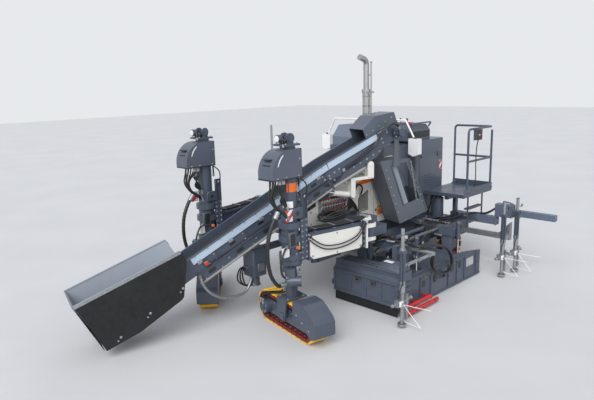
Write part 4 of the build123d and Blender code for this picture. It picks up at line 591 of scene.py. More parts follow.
def column_fittings(name, y, side):
    """Head, lamp, cover trim and blank signs of one front column."""
    fit = Piece(name + "_column_fittings", name + "_arm", Matrix.Translation((0, y, 0)))
    # Lamp glass and hood
    fit.pin("x", 0, 2.562, 0.176, 0.183, 0.041, LAMP_GLASS, 24)
    fit.pin("x", 0, 2.562, 0.1, 0.121, 0.03, PLASTIC_AND_SHADE)
    for ear in (-0.062, 0.062):
        for way in (-1, 1):
            fit.pin("y", 0, 2.562, ear + way * 0.013, ear + way * 0.017, 0.052, DARK, 24)
    fit.bolts(grid((-0.09, 0.108), (-0.085, 0.085), 2.4905), "z", 0.012)
    # Black valve cluster between ears
    fit.box((-0.01, -0.04, 2.49), (0.08, 0.04, 2.535), PLASTIC_AND_SHADE, 0.008)
    fit.hose([(0.05, 0, 2.53), (0.1, 0.02, 2.59), (0.13, 0.05, 2.54), (0.135, 0.07, 2.46)], 0.01)
    # Blank curved decal, row of screws and black lip on the cover
    for fit.side in (-1, 1):
        edge = 0.1352
        fit.prism(DECAL, edge, edge + 0.0012, "y", WHITE, 0)
        fit.bolts(grid((0.3, 0.16, -0.06), edge, 2.09) + [(-0.08, edge, 2.3)], "y", 0.009)
        fit.box((-0.118, edge - 0.006, 2.062), (0.386, edge + 0.002, 2.076), PLASTIC_AND_SHADE, 0.002)
    fit.box((0.374, -0.134, 2.062), (0.387, 0.134, 2.082), PLASTIC_AND_SHADE, 0.002)
    # Black plates: painted shade inside the cover's slots
    for z in (2.3205, 2.2505):
        fit.box((0.272, -0.066, z - 0.004), (0.372, 0.066, z + 0.004), PLASTIC_AND_SHADE, 0)
    # Slots' dark depth, shown as black plates of painted shade, and the round fitting at the
    # cover's rear
    fit.pin("x", 0.06, 2.17, -0.118, -0.155, 0.03, PLASTIC_AND_SHADE, 16)
    fit.side = side
    fit.pin("x", 0.1, 2.18, -0.1, -0.14, 0.024, PLASTIC_AND_SHADE, 16)
    # Blank signs
    for low, high, material, z0, z1 in ((0.095, -0.05, ORANGE, 1.885, 1.998),
                                        (0.118, 0.03, WHITE, 1.68, 1.765)):
        angles = [math.asin(min(1, (low + (high - low) * k / 4) / 0.1125)) for k in range(5)]
        for a, b in zip(angles, angles[1:]):
            quad = [(radius * math.sin(turn), radius * math.cos(turn)) for radius, turn in
                    ((0.1105, a), (0.1105, b), (0.107, b), (0.107, a))]
            fit.prism(quad, z0, z1, "z", material, 0)
    fit.box((0.06, 0.118, 1.515), (0.175, 0.124, 1.668), STRIPES, 0.001)
    fit.finish()


def column_bracket(name, y):
    """Bolted clamp plates, perforated profile, boxes and cable runs beside the column."""
    fit = Piece(name + "_column_bracket", name + "_arm", Matrix.Translation((0, y, 0)))
    for fit.side in (-1, 1):
        fit.box((-0.205, 0.094, 0.955), (-0.085, 0.122, 1.52), DARK, 0.004)
        fit.bolts(grid((-0.185, -0.107), 0.122, row(0.99, 0.072, 8)), "y", 0.01)
        fit.box((-0.085, 0.094, 0.975), (0.035, 0.128, 1.09), DARK, 0.006)
        fit.bolts(grid((-0.06, 0.01), 0.128, (0.995, 1.07)), "y")
    # Tall perforated profile on the outer side; black discs paint the shade in its holes
    fit.boxes(DARK, 0.002, (-0.2, 0.1, 1.5, -0.1, 0.106, 1.85),
              (-0.2, 0.1, 1.5, -0.194, 0.134, 1.85), (-0.106, 0.1, 1.5, -0.1, 0.134, 1.85))
    for z in row(1.53, 0.029, 11):
        fit.pin("y", -0.15, z, 0.1055, 0.1068, 0.008, PLASTIC_AND_SHADE, 10, 0)
    # Lug with its round hole; a black disc in a dark ring paints the hole's shade
    lug = [(-0.115, 1.525), (0.062, 1.54), (0.066, 1.65), (0.03, 1.68), (-0.115, 1.68)]
    fit.prism(lug, 0.112, 0.142, "y", DARK, 0.005)
    fit.pin("y", -0.01, 1.607, 0.1415, 0.1428, 0.03, PLASTIC_AND_SHADE, 20, 0)
    fit.pin("y", -0.01, 1.607, 0.1405, 0.1432, 0.04, DARK, 20, 0.001)
    fit.pin("y", -0.01, 1.607, 0.1415, 0.1442, 0.028, PLASTIC_AND_SHADE, 20, 0)
    # Framed box with its blank plate
    fit.box((0.03, 0.112, 1.175), (0.16, 0.15, 1.38), DARK, 0.005)
    fit.box((0.04, 0.1495, 1.185), (0.15, 0.153, 1.37), ZINC_DARK, 0.001)
    fit.box((0.05, 0.1525, 1.197), (0.14, 0.1545, 1.358), PLASTIC_AND_SHADE, 0.001)
    # Round orange-capped plug, white boxes
    fit.pin("y", 0, 1.155, 0.12, 0.172, 0.02, ORANGE, 16)
    fit.pin("y", 0, 1.155, 0.118, 0.14, 0.026, ZINC, 16)
    fit.box((0.13, 0.06, 1.06), (0.215, 0.124, 1.175), WHITE, 0.006)
    fit.box((-0.07, 0.096, 0.8), (0.02, 0.135, 0.905), ZINC, 0.006)
    fit.pin("y", -0.025, 0.853, 0.13, 0.1375, 0.014, PLASTIC_AND_SHADE, 12)
    # Cable strip down the rear edge
    fit.hose([(-0.105, 0.06, 2.4), (-0.118, 0.065, 2.05), (-0.124, 0.062, 1.9)], 0.012)
    fit.hose([(-0.07, 0.11, 2.07), (-0.16, 0.15, 1.98), (-0.175, 0.15, 1.86), (-0.15, 0.128, 1.8)],
             0.009)
    # Hoses under the cover's nose gathered toward the column's front
    for k in range(7):
        x = 0.2 + 0.026 * k
        out = 0.085 - 0.022 * (k % 5)
        fit.hose([(x, out, 2.1), (x + 0.03, out + 0.02, 2),
                  (0.335 + 0.014 * k, 0.09 + 0.01 * (k % 3), 1.87),
                  (0.325 + 0.006 * k, 0.115 + 0.009 * (k % 3), 1.745),
                  (0.22, 0.125, 1.66 - 0.006 * k),
                  (0.135, 0.105 + 0.004 * k, 1.6 - 0.008 * k)], 0.0105)
    for k in range(5):
        x = 0.165 + 0.022 * k
        fit.pin("z", x, 0.1, 2.085, 2.02, 0.011, ZINC, 8)
        fit.hose([(x, 0.1, 2.03), (x + 0.02, 0.115, 1.93), (0.26 - 0.02 * k, 0.12, 1.8),
                  (0.14, 0.122, 1.705 - 0.01 * k)], 0.009, 5)
    fit.finish()


def leg_hoses(name, y):
    """The thick ribbed hose and a thin one down to the slewing drive, and the drive's screws."""
    leg = "front_" + name + "_leg"
    place = Matrix.Translation((0, y, 0))
    thick = Piece(name + "_leg_hose", name + "_arm", place)
    thick.hose([(0.33, 0.13, 1.66), (0.42, 0.14, 1.55), (0.5, 0.14, 1.36), (0.52, 0.14, 1.12),
                (0.47, 0.13, 0.9), (0.36, 0.13, 0.74), (0.24, 0.12, 0.72)], 0.024, 9, HOSE, 10, 0.1)
    thick.finish((leg, (0.3, y, 1.58), (0.3, y, 0.8)))
    thin = Piece(name + "_thin_hose", name + "_arm", place)
    thin.hose([(0.17, 0.12, 1.2), (0.26, 0.16, 1.16), (0.33, 0.17, 1.02), (0.3, 0.16, 0.86),
               (0.21, 0.15, 0.8)], 0.014)
    thin.finish((leg, (0.3, y, 1.16), (0.3, y, 0.84)))
    drive = Piece(name + "_slewing_screws", leg, place)
    drive.bolts(ring((0, 0, 0.985), 0.131, "z", row(0, math.pi / 6, 12)), "-z")
    drive.pin("z", 0, 0, 0.92, 0.926, 0.122, DARK, 32)
    drive.bolts(ring((0, 0, 0.9227), 0.1295, "z", row(0, math.pi / 8, 16)), "-z", 0.01)
    drive.finish()


for name, y, side in (("left", 0, 1), ("right", -1.83, -1)):
    column_fittings(name, y, side)
    column_bracket(name, y)
    leg_hoses(name, y)


# Swing arms

PIVOT_X = -1.38
ARM_TURN = math.degrees(math.atan2(0.24, 1.38))
# Name, pivot's Y, side
ARMS = (("left", 0.24, 1), ("right", -2.07, -1))


def paint_arm(name, pivot_y, side):
    """The arm's paint: cream pivot fork and flanges, dark box."""
    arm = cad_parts[name + "_swing_arm"]
    angle = math.radians(-side * ARM_TURN)
    way = Vector((math.cos(angle), math.sin(angle), 0))
    reach = way.dot(at(PIVOT_X, pivot_y, 0)) + 0.195
    local = arm.matrix_world.to_3x3().inverted() @ way
    material = paint(name + "_arm_paint", DARK_TONE, 0.36, 0.2, (0.16, 0.165, 0.17), 0.005, 0.25,
                     (tuple(local), reach - way.dot(arm.matrix_world.translation), CREAM_TONE))
    for slot in arm.material_slots:
        slot.material = material


def arm_fittings(name, pivot_y, side):
    """Panel screws, flange bolts, hoses with their clamps and cylinder ports of one arm."""
    turn = turned(PIVOT_X, pivot_y, -side * ARM_TURN)
    fit = Piece(name + "_arm_fittings", name + "_arm", turn)
    fit.side = side
    fit.bolts(grid((0.3, 1.122), 0.1143, (0.985, 1.215)) + grid(0.711, 0.1143, (0.965, 1.235)),
              "y", 0.009)
    fit.box((0.262, 0.1003, 1.262), (1.16, 0.106, 1.292), DARK, 0.002)
    fit.side = 1
    fit.bolts(grid(0.2272, (-0.112, 0.112), (0.955, 1.03, 1.105, 1.18, 1.255))
              + grid(0.2272, (-0.06, 0, 0.06), 1.309), "x")
    for z in (1.241, 0.988):
        fit.pin("z", 0, 0, z, z + 0.006, 0.06, ZINC_DARK, 24)
    # Two slim hoses that cross the panel
    fit.side = side
    for k, drop in enumerate((0, 0.05)):
        fit.hose([(1.19, 0.12, 1.29 - drop), (1.1, 0.135, 1.2 - drop), (0.92, 0.134, 1.1 - drop),
                  (0.66, 0.133, 1.075 - drop), (0.42, 0.136, 1.12 - drop),
                  (0.3, 0.142, 1.21 - drop), (0.2, 0.15 + 0.012 * k, 1.32)], 0.0085, 5)
    fit.side = 1
    # A bundle on the arm's back with its clamps
    for y in row(-0.07, 0.03, 5):
        fit.hose([(0.1, y, 1.36), (0.25, y, 1.335), (0.6, y * 1.1, 1.322), (0.95, y, 1.325),
                  (1.2, y * 0.8, 1.36), (1.27, y * 0.7, 1.52)], 0.0125, 5)
    for x in (0.4, 0.72, 1.04):
        fit.boxes(ZINC, 0.001, (x - 0.015, -0.095, 1.3003, x + 0.015, 0.085, 1.306),
                  (x - 0.012, -0.09, 1.334, x + 0.012, 0.08, 1.34))
    # Lug and eye plate over the root in cream
    plate = [(0.03, 1.296), (0.175, 1.296), (0.175, 1.345), (0.12, 1.372), (0.06, 1.365)]
    for y in (-0.06, 0.046):
        fit.prism(plate, y, y + 0.014, "y", CREAM)
    fit.finish()
    ports = Piece(name + "_cylinder_ports", name + "_swing_cylinder", turn)
    ports.side = side
    base, eye = Vector((1.01, -0.03, 0.868)), Vector((0.13, -0.185, 0.868))
    way = (eye - base).normalized()
    for along in (0.09, 0.47):
        x, y, z = base + way * along
        ports.pin("z", x, y, z + 0.04, z + 0.062, 0.013, ZINC, 10)
    ports.rod(base + way * 0.5, base + way * 0.521, 0.05, DARK, 24)
    ports.finish()


for numbers in ARMS:
    paint_arm(*numbers)
    arm_fittings(*numbers)


# Conveyor

KNEE = (-1.11, -0.49, 2.1)


def conveyor_place(slope):
    """One straight section's frame: X down and forward along the rim, Y across."""
    return (Matrix.Translation(KNEE) @ Matrix.Rotation(math.radians(-15), 4, "Z")
            @ Matrix.Rotation(math.radians(slope), 4, "Y"))


LOWER = conveyor_place(26.5)
UPPER = conveyor_place(22.5)
SLEWED = conveyor_place(0)


def conveyor_trim():
    """Flanges, ribs, brackets, screws and sleeved chords on both sides of the trough."""
    trim = Piece("conveyor_side_trim", "conveyor", LOWER)
    face = 0.18
    for trim.side in (-1, 1):
        trim.box((0.03, face, -0.262), (2.41, 0.206, -0.252), DARK, 0.002)
        trim.box((0.03, face, -0.122), (2.37, 0.187, -0.1125), PLASTIC_AND_SHADE, 0.001)
        for x in row(0.1, 0.48, 5):
            trim.box((x, face, -0.252), (x + 0.01, 0.202, -0.125), DARK, 0.001)
            trim.bolts(grid(x + 0.05, face, (-0.235, -0.15)), "y", 0.009)
        for x in row(0.29, 0.48, 4):
            trim.box((x, 0.1662, -0.2), (x + 0.09, 0.1675, -0.16), PLASTIC_AND_SHADE, 0)
        trim.bolts(grid(row(0.1, 0.2, 12), 0.186, -0.028), "y", 0.006)
        for x in (0.22, 0.74, 1.26, 1.78, 2.28):
            trim.box((x - 0.036, 0.1862, -0.15), (x + 0.036, 0.192, -0.098), ZINC, 0.002)
            trim.bolts(grid((x - 0.02, x + 0.02), 0.192, -0.124), "y", 0.008)
        trim.pin("x", 0.135, -0.29, 0.02, 2.368, 0.0465, DARK, 28)
        # Outer frame ledge, its slotted web with black plates of painted shade in the slots, and
        # the light tube along its lower edge
        trim.box((0.1, 0.1835, -0.372), (2.372, 0.19, -0.252), DARK, 0.002)
        for x in row(0.3, 0.46, 5):
            trim.box((x, 0.1895, -0.345), (x + 0.11, 0.1905, -0.295), PLASTIC_AND_SHADE, 0)
            trim.box((x + 0.22, 0.19, -0.325), (x + 0.25, 0.196, -0.312), ZINC, 0.002)
        trim.box((0.08, 0.176, -0.372), (2.38, 0.21, -0.365), DARK, 0.002)
        trim.bolts(grid(row(0.2, 0.265, 9), 0.2, -0.365), "z", 0.009)
        trim.pin("x", 0.1935, -0.39, 0.1, 2.42, 0.021, CHORD, 24)
        trim.hose([(0.05, 0.196, -0.24), (0.6, 0.194, -0.244), (1.2, 0.196, -0.24),
                   (1.8, 0.194, -0.244), (2.2, 0.196, -0.215)], 0.008, 3)
        # Stop button near the hopper
        trim.box((2.185, 0.186, -0.212), (2.255, 0.222, -0.15), DARK, 0.006)
        trim.pin("y", 2.22, -0.181, 0.222, 0.228, 0.029, ORANGE)
        trim.pin("y", 2.22, -0.181, 0.228, 0.25, 0.02, BRIGHT_RED)
        # Knee plate over the joint of the two sections
        plate = [(-0.22, -0.275), (-0.16, -0.15), (0.14, -0.15), (0.24, -0.275), (0.1, -0.345),
                 (-0.1, -0.345)]
        trim.prism(plate, 0.1805, 0.19, "y", DARK, 0.002)
        trim.bolts(grid((-0.14, -0.05, 0.05), 0.19, -0.2)
                   + [(0.14, 0.19, -0.21), (0, 0.19, -0.3)], "y")
    trim.finish()


def head_trim():
    """Side plates, drive motor, tensioner and hoses at the conveyor's head."""
    head = Piece("conveyor_head_trim", "conveyor", UPPER)
    web = [(0.06, -0.262), (0.06, -0.372), (-0.55, -0.372), (-0.62, -0.33), (-0.62, -0.262)]
    plate = [(-0.3, -0.262), (-0.3, -0.3), (-0.62, -0.345), (-0.84, -0.345), (-1.02, -0.262)]
    for head.side in (-1, 1):
        head.prism(web, 0.1835, 0.19, "y", DARK, 0.002)
        head.pin("x", 0.1935, -0.39, 0.03, -0.575, 0.021, CHORD, 24)
        head.prism(plate, 0.1805, 0.188, "y", DARK, 0.002)
        head.bolts(grid(row(-0.4, -0.13, 5), 0.188, -0.285), "y")
        head.bolts(grid(-1.03, 0.18, (-0.06, -0.13, -0.2)) + grid(-1.16, 0.18, (-0.04, -0.09)), "y",
                   0.012)
        head.box((-0.965, 0.1805, -0.125), (-0.3, 0.186, -0.1135), PLASTIC_AND_SHADE, 0.001)
        head.box((-1.1, 0.181, -0.03), (-0.98, 0.192, -0.004), ZINC, 0.002)
        head.box((-1, 0.181, 0.004), (-1.39, 0.187, 0.018), ZINC_DARK, 0.001)
        head.bolts([(-0.8 - 0.13 * k, 0.1802, 0.045 + 0.01 * k) for k in range(5)], "y", 0.008)
    x, z = -1.309, -0.167
    head.pin("y", x, z, 0.18, 0.212, 0.02, STEEL)
    head.pin("y", x, z, 0.208, 0.232, 0.072, DARK, 28)
    head.pin("y", x, z, 0.232, 0.345, 0.052, DARK, 28)
    head.bolts(ring((x, 0.232, z), 0.06, "y", (0.4, 1.45, 2.5, 3.5, 4.6, 5.6)), "y", 0.009)
    head.box((-1.345, 0.29, -0.125), (-1.273, 0.34, -0.085), DARK)
    for k in range(2):
        y, drop = 0.3 + 0.026 * k, 0.02 * k
        head.hose([(-1.3, y, -0.085), (-1.28, y, -0.01), (-1.18, y - 0.02, 0.035),
                   (-1.02, 0.235 + drop, -0.02), (-0.86, 0.212, -0.14 - drop),
                   (-0.55, 0.205, -0.205 - drop), (-0.2, 0.203, -0.225 - drop)], 0.011)
    head.finish()


def hopper_trim():
    """Rim bars, washers and the front curtain of the hopper."""
    trim = Piece("hopper_rim_and_washers", "conveyor", LOWER)
    rear, front = 2.445, 3.822
    for trim.side in (-1, 1):
        trim.prism([(rear, 0.2122), (front, 0.3978), (front, 0.407), (rear, 0.2214)], 0.296, 0.33,
                   "y", HOPPER_GREY, 0.002)
        trim.prism([(rear, 0.18), (front, 0.366), (front, 0.399), (rear, 0.213)], 0.3232, 0.3285,
                   "y", ZINC, 0.001)
        trim.bolts([(x, 0.3285, 0.2 + (x - rear) * 0.1347) for x in row(2.5, 0.14, 10)], "y", 0.007)
        for x, z in ((2.677, -0.238), (3.172, -0.255), (3.61, -0.284)):
            trim.bolts([(x - 0.02, 0.3232, z + 0.012)], "y", 0.0115)
            trim.bolts([(x + 0.03, 0.3232, z - 0.012)], "y", 0.008)
    trim.prism([(-0.322, 0.3), (0.322, 0.3), (0.322, 0.407), (-0.322, 0.407)], 3.8243, 3.832,
               "x", HOPPER_GREY, 0.001)
    trim.bolts(grid(3.832, row(-0.27, 0.09, 7), 0.375), "x", 0.008)
    # Ribbed curtain in front
    for y in row(-0.3, 0.0755, 8):
        trim.box((3.8245, y, -0.3), (3.831, y + 0.071, 0.292), RUBBER, 0.002)
    trim.finish()


def chute_trim():
    """Stiffened edges, liner, chain and shackle on the discharge chute."""
    trim = Piece("chute_edges_and_chain", "chute", SLEWED)
    face = 0.176
    edges = (((-1, -0.12), (-1.37, -1.1)), ((-1.545, -0.075), (-1.94, -0.955)),
             ((-1.37, -1.098), (-1.938, -0.962)), ((-1.19, -0.14), (-1.45, -0.815)),
             ((-1.5, -0.14), (-1.785, -0.735)))
    for low, high in edges:
        for trim.side in (-1, 1):
            trim.prism(strip(low, high, 0.01), face, face + 0.014, "y", CHUTE_AND_HIGHLIGHT_PAINT, 0.002)
    # Lighter liner seen through the open side
    liner = [(-1.215, -0.15), (-1.3, -0.15), (-1.56, -0.79), (-1.47, -0.81)]
    trim.prism(liner, 0.1585, 0.1655, "y", HOPPER_GREY, 0.002)
    for x, z, drop in ((-1.1, -0.22, 0.14), (-1.6, -0.2, 0.12)):
        trim.bolts([(x - 0.05 * k, face, z - drop * k) for k in range(6)], "y", 0.009)
    top, bottom = Vector((-1.565, 0.204, -0.12)), Vector((-1.7, 0.204, -0.76))
    links = 20
    step = (bottom - top) / links
    way = step.normalized()
    crosswise = Vector((0, 1, 0))
    for k in range(links):
        across = (crosswise if k % 2 else way.cross(crosswise)) * 0.011
        link = [top + step * (k + 0.5) + way * 0.021 * math.cos(a) + across * math.sin(a)
                for a in row(0, math.pi / 5, 11)]
        trim.loop(link, 0.0038, 1, ZINC, 6)
    for x, y, z in (top, bottom):
        trim.pin("y", x, z, y - 0.03, y + 0.014, 0.008, ZINC, 12)
    trim.finish()


conveyor_trim()
head_trim()
hopper_trim()
chute_trim()


# Left side of the body

def side_panel_trim():
    """Blank flashes, labels, grille frame, latches and the panel's edge trim."""
    trim = Piece("side_panel_trim", "chassis")
    face = -0.45
    flash = [(-1.78, 1.64), (-2.06, 1.625), (-2.334, 1.64), (-2.334, 1.757), (-2.1, 1.7)]
    trim.prism(flash, face, face + 0.0012, "y", ORANGE, 0)
    trim.box((-2.735, face, 1.06), (-2.44, face + 0.0015, 1.205), ORANGE, 0)
    trim.box((-2.725, face + 0.0015, 1.135), (-2.45, face + 0.0025, 1.195), YELLOW, 0)
    # Black weather strip along the sloping top edge and the frame round the grille
    for edge in ([(-0.78, 1.4), (-1.14, 1.4998), (-1.138, 1.509), (-0.777, 1.409)],
                 [(-1.43, 1.6819), (-1.61, 1.76), (-1.61, 1.77), (-1.428, 1.691)]):
        trim.prism(edge, face - 0.034, face + 0.004, "y", PLASTIC_AND_SHADE, 0)
    trim.box((-2.33, face - 0.034, 1.76), (-1.61, face + 0.004, 1.771), PLASTIC_AND_SHADE, 0.002)
    corners = [(-1.952, 1.196), (-1.952, 1.405), (-2.188, 1.512), (-2.188, 1.196)]
    for low, high in zip(corners, corners[1:] + corners[:1]):
        trim.prism(strip(low, high, 0.006), face, face + 0.005, "y", PLASTIC_AND_SHADE, 0.001)
    trim.bolts([(x, face, z) for x, z in (
        (-0.86, 1.2), (-0.86, 1.38), (-1.2, 1.48), (-1.62, 1.7), (-2.28, 1.71), (-2.36, 1.95),
        (-2.82, 1.95), (-2.82, 1.45), (-2.82, 0.98), (-2.2, 0.98))], "y", 0.01)
    # Seam of the rear door with two latches
    trim.box((-2.344, face, 0.95), (-2.34, face + 0.001, 1.745), PLASTIC_AND_SHADE, 0)
    for z in (1.15, 1.6):
        trim.pin("y", -2.4, z, face, face + 0.01, 0.024, PLASTIC_AND_SHADE)
        trim.box((-2.406, face + 0.008, z - 0.02), (-2.394, face + 0.014, z + 0.02), ZINC, 0.001)
    # Air hose bent over in front of the grille
    trim.hose([(x, face + out, z) for x, out, z in (
        (-1.8, 0.01, 1.455), (-1.8, 0.055, 1.56), (-1.85, 0.06, 1.64), (-1.93, 0.06, 1.64),
        (-1.985, 0.055, 1.57), (-1.985, 0.012, 1.44))], 0.014, 8, HOSE, 10)
    trim.finish()


def valve_bank():
    """The stacked control valves with red levers, their bracket and hoses."""
    bank = Piece("valve_bank", "chassis")
    low_y, high_y = -0.448, -0.372
    bank.box((-1.6, -0.45, 1.29), (-0.96, -0.44, 1.535), CREAM, 0.003)
    for level, z in enumerate((1.396, 1.488)):
        for k, x in enumerate(row(-1.033, -0.058, 9)):
            bank.box((x - 0.023, low_y, z - 0.046), (x + 0.023, high_y, z + 0.042), ZINC)
            bank.box((x - 0.023, low_y + 0.01, z + 0.042), (x + 0.017, high_y - 0.01, z + 0.056),
                     RED_CHAIN, 0.002)
            bank.pin("y", x, z, high_y, high_y + 0.02, 0.012, ZINC_DARK, 10)
            tip = Vector((x + 0.012 * (k % 3 - 1), high_y + 0.06, z - 0.012))
            bank.rod((x, high_y + 0.018, z - 0.01), tip, 0.006, RED_CHAIN, 8)
            bank.rod(tip - Vector((0, 0.01, 0)), tip + Vector((0, 0.014, 0.008)), 0.015, RED_CHAIN,
                     12)
            bank.hose([(x, high_y - 0.02, z - 0.046), (x, high_y + 0.03, z - 0.1),
                       (-1.05 - 0.04 * k, high_y + 0.045 + 0.012 * level, 1.275 - 0.008 * k),
                       (-1.42 - 0.03 * k, high_y + 0.04 - 0.01 * level, 1.235 + 0.014 * k),
                       (-1.62 - 0.012 * k, low_y + 0.03, 1.225 + 0.022 * k)], 0.0095, 5)
    # Hoses that leave the bank toward the grille
    for k in range(6):
        bank.hose([(-1.545, -0.39 + 0.006 * k, 1.36 + 0.026 * k), (-1.62, -0.36, 1.37 + 0.024 * k),
                   (-1.74, -0.375, 1.33 + 0.014 * k), (-1.86, -0.41, 1.24 + 0.01 * k),
                   (-1.93, -0.43, 1.15)], 0.0105, 5)
    bank.finish()


def hose_coil():
    """The loose coil of supply hoses lying over the beam's left end."""
    coil = Piece("hose_coil", "chassis")
    coil.box((-1.412, -0.33, 1.2805), (-0.83, -0.05, 1.292), DARK, 0.003)
    for y in (-0.3, -0.08):
        coil.box((-1.43, y - 0.02, 1.2805), (-1.41, y + 0.02, 1.292), DARK, 0.002)
    for k in range(6):
        size = 1 - 0.1 * (k % 3) - 0.03 * k
        coil.loop([(-1.04 + 0.02 * (k % 2) + 0.27 * size * math.cos(a),
                    -0.195 - 0.12 * size * math.sin(a),
                    1.34 + 0.005 * k + 0.034 * size * math.sin(a) + 0.004 * math.sin(2 * a + k))
                   for a in row(0.5 * k, math.pi / 12, 25)], 0.0125, 2, HOSE, 8)
    for k in range(3):
        coil.hose([(-0.86, -0.16 - 0.03 * k, 1.31), (-0.98, -0.06 - 0.04 * k, 1.345 + 0.02 * k),
                   (-1.25, -0.05 - 0.05 * k, 1.375), (-1.46, -0.12 - 0.04 * k, 1.33),
                   (-1.62, -0.22 - 0.04 * k, 1.295), (-1.69, -0.3 - 0.03 * k, 1.24),
                   (-1.72, -0.38, 1.12), (-1.74, -0.44, 1.02)], 0.0125)
    coil.bolts(grid(-1.445, (-0.42, 0.1), 1.2805), "z", 0.013)
    coil.finish()


side_panel_trim()
valve_bank()
hose_coil()


# Trimmer, mould and side form

def trimmer_trim():
    """Seams, handles, screws, shelf, end bars and hoses of the trimmer."""
    trim = Piece("trimmer_trim", "trimmer", None, DARK)
    front, right, left = -1.19, -0.305, 0.855
    # Upright seams with their flanges and a framed lower edge
    for y in (-0.29, 0.01, 0.3, 0.575, 0.84):
        trim.box((front, y - 0.014, 0.15), (front + 0.016, y + 0.014, 0.496), DARKER, 0.003)
        trim.bolts(grid(front + 0.016, y, (0.185, 0.29, 0.395, 0.47)), "x", 0.008)
    trim.box((front, right, 0.146), (front + 0.012, left, 0.176), DARKER, 0.002)
    trim.box((front, right, 0.47), (front + 0.022, left, 0.5), DARKER, 0.003)
    for y in (-0.14, 0.155, 0.437, 0.708):
        trim.bolts(grid(front + 0.012, (y - 0.06, y + 0.06), 0.16), "x", 0.008)
    # Lighter bars across the shelf: painted highlights on its rails
    for x in (-1.272, -1.345, -1.418):
        trim.box((x - 0.01, right + 0.02, 0.6203), (x + 0.01, 0.44, 0.629), CHUTE_AND_HIGHLIGHT_PAINT, 0.002)
    trim.prism([(front - 0.044, 0.562), (front + 0.001, 0.502), (front + 0.006, 0.506),
                (front - 0.039, 0.566)], right + 0.01, left - 0.01, "y", DARK, 0)
    # The lighter strips under the top frame are painted highlights
    for y in (-0.2, 0.06, 0.33, 0.6):
        trim.box((front, y, 0.452), (front + 0.004, y + 0.17, 0.462), CHUTE_AND_HIGHLIGHT_PAINT, 0.001)
        trim.box((front, y + 0.02, 0.205), (front + 0.002, y + 0.15, 0.209), PLASTIC_AND_SHADE, 0)
    # Two oval handles
    for y in (0.155, 0.437):
        trim.loop([(front + 0.024, y + 0.048 * math.cos(a), 0.415 + 0.02 * math.sin(a))
                   for a in row(0, math.pi / 7, 15)], 0.006, 1, ZINC_DARK, 6)
        trim.box((front, y - 0.05, 0.392), (front + 0.003, y + 0.05, 0.438), PLASTIC_AND_SHADE, 0.001)
    # Ribs along the sloping shelf, and the shelf's lip
    trim.box((-1.236, right + 0.01, 0.6203), (-1.222, left - 0.01, 0.64), DARKER, 0.002)
    for y in row(right + 0.13, 0.122, 8):
        trim.box((-1.47, y - 0.006, 0.6203), (-1.27, y + 0.006, 0.634), DARKER, 0.002)
        trim.bolts([(-1.25, y, 0.6203)], "z", 0.008)
    # Stepped bin on the shelf's left half with its grab bar
    bin_side = [(-1.25, 0.6205), (-1.5, 0.6205), (-1.5, 0.716), (-1.33, 0.7), (-1.262, 0.65)]
    trim.prism(bin_side, 0.45, 0.845, "y", DARKER, 0.005)
    for y in (0.47, 0.6, 0.72, 0.83):
        trim.bolts([(-1.3, y, 0.6775), (-1.46, y, 0.7125)], (-0.3, 0, 0.95), 0.009)
    trim.box((-1.42, 0.5, 0.7115), (-1.35, 0.64, 0.722), WHITE, 0.003)
    # Left end: bars, bearing cap; right end: drive motor with its hoses
    for z in (0.3, 0.38, 0.46):
        trim.box((-1.5, left, z), (-1.21, left + 0.018, z + 0.016), DARKER, 0.002)
    trim.pin("y", -1.35, 0.2, left + 0.034, left + 0.05, 0.05, ZINC_DARK, 24)
    trim.bolts(ring((-1.35, left + 0.034, 0.2), 0.04, "y", SIX_BOLTS), "y", 0.008)
    trim.pin("y", -1.35, 0.2, right - 0.034, right - 0.15, 0.055, DARK, 24)
    for offset in (-0.022, 0.022):
        trim.hose([(-1.35 + offset, right - 0.1, 0.25), (-1.35 + offset, right - 0.12, 0.36),
                   (-1.4 + offset, right - 0.08, 0.5), (-1.44 + offset, right + 0.02, 0.62)],
                  0.01, 5)
    # Skirt clamp strip
    trim.box((-1.2135, right + 0.016, 0.168), (-1.2025, left - 0.016, 0.17), ZINC, 0)
    trim.finish()


def trimmer_jacks():
    """The lifting cylinders between the carriers and the trimmer's back, with their rods."""
    jacks = Piece("trimmer_jacks", "chassis")
    rods = Piece("trimmer_jack_rods", "trimmer")
    x = -1.557
    for y in (0.105, 0.665):
        jacks.pin("z", x, y, 0.64, 0.905, 0.032, DARK, 24)
        jacks.pin("z", x, y, 0.895, 0.925, 0.038, ZINC_DARK, 24)
        jacks.box((-1.6, y - 0.03, 0.7), (-1.575, y + 0.03, 0.76), DARK)
        jacks.hose([(-1.565, y + 0.02, 0.915), (-1.59, y + 0.03, 0.96), (-1.64, y, 0.975),
                    (-1.72, y - 0.06, 0.935)], 0.009, 5)
        rods.pin("z", x, y, 0.4, 0.69, 0.016, CHROME)
    jacks.finish()
    rods.finish()


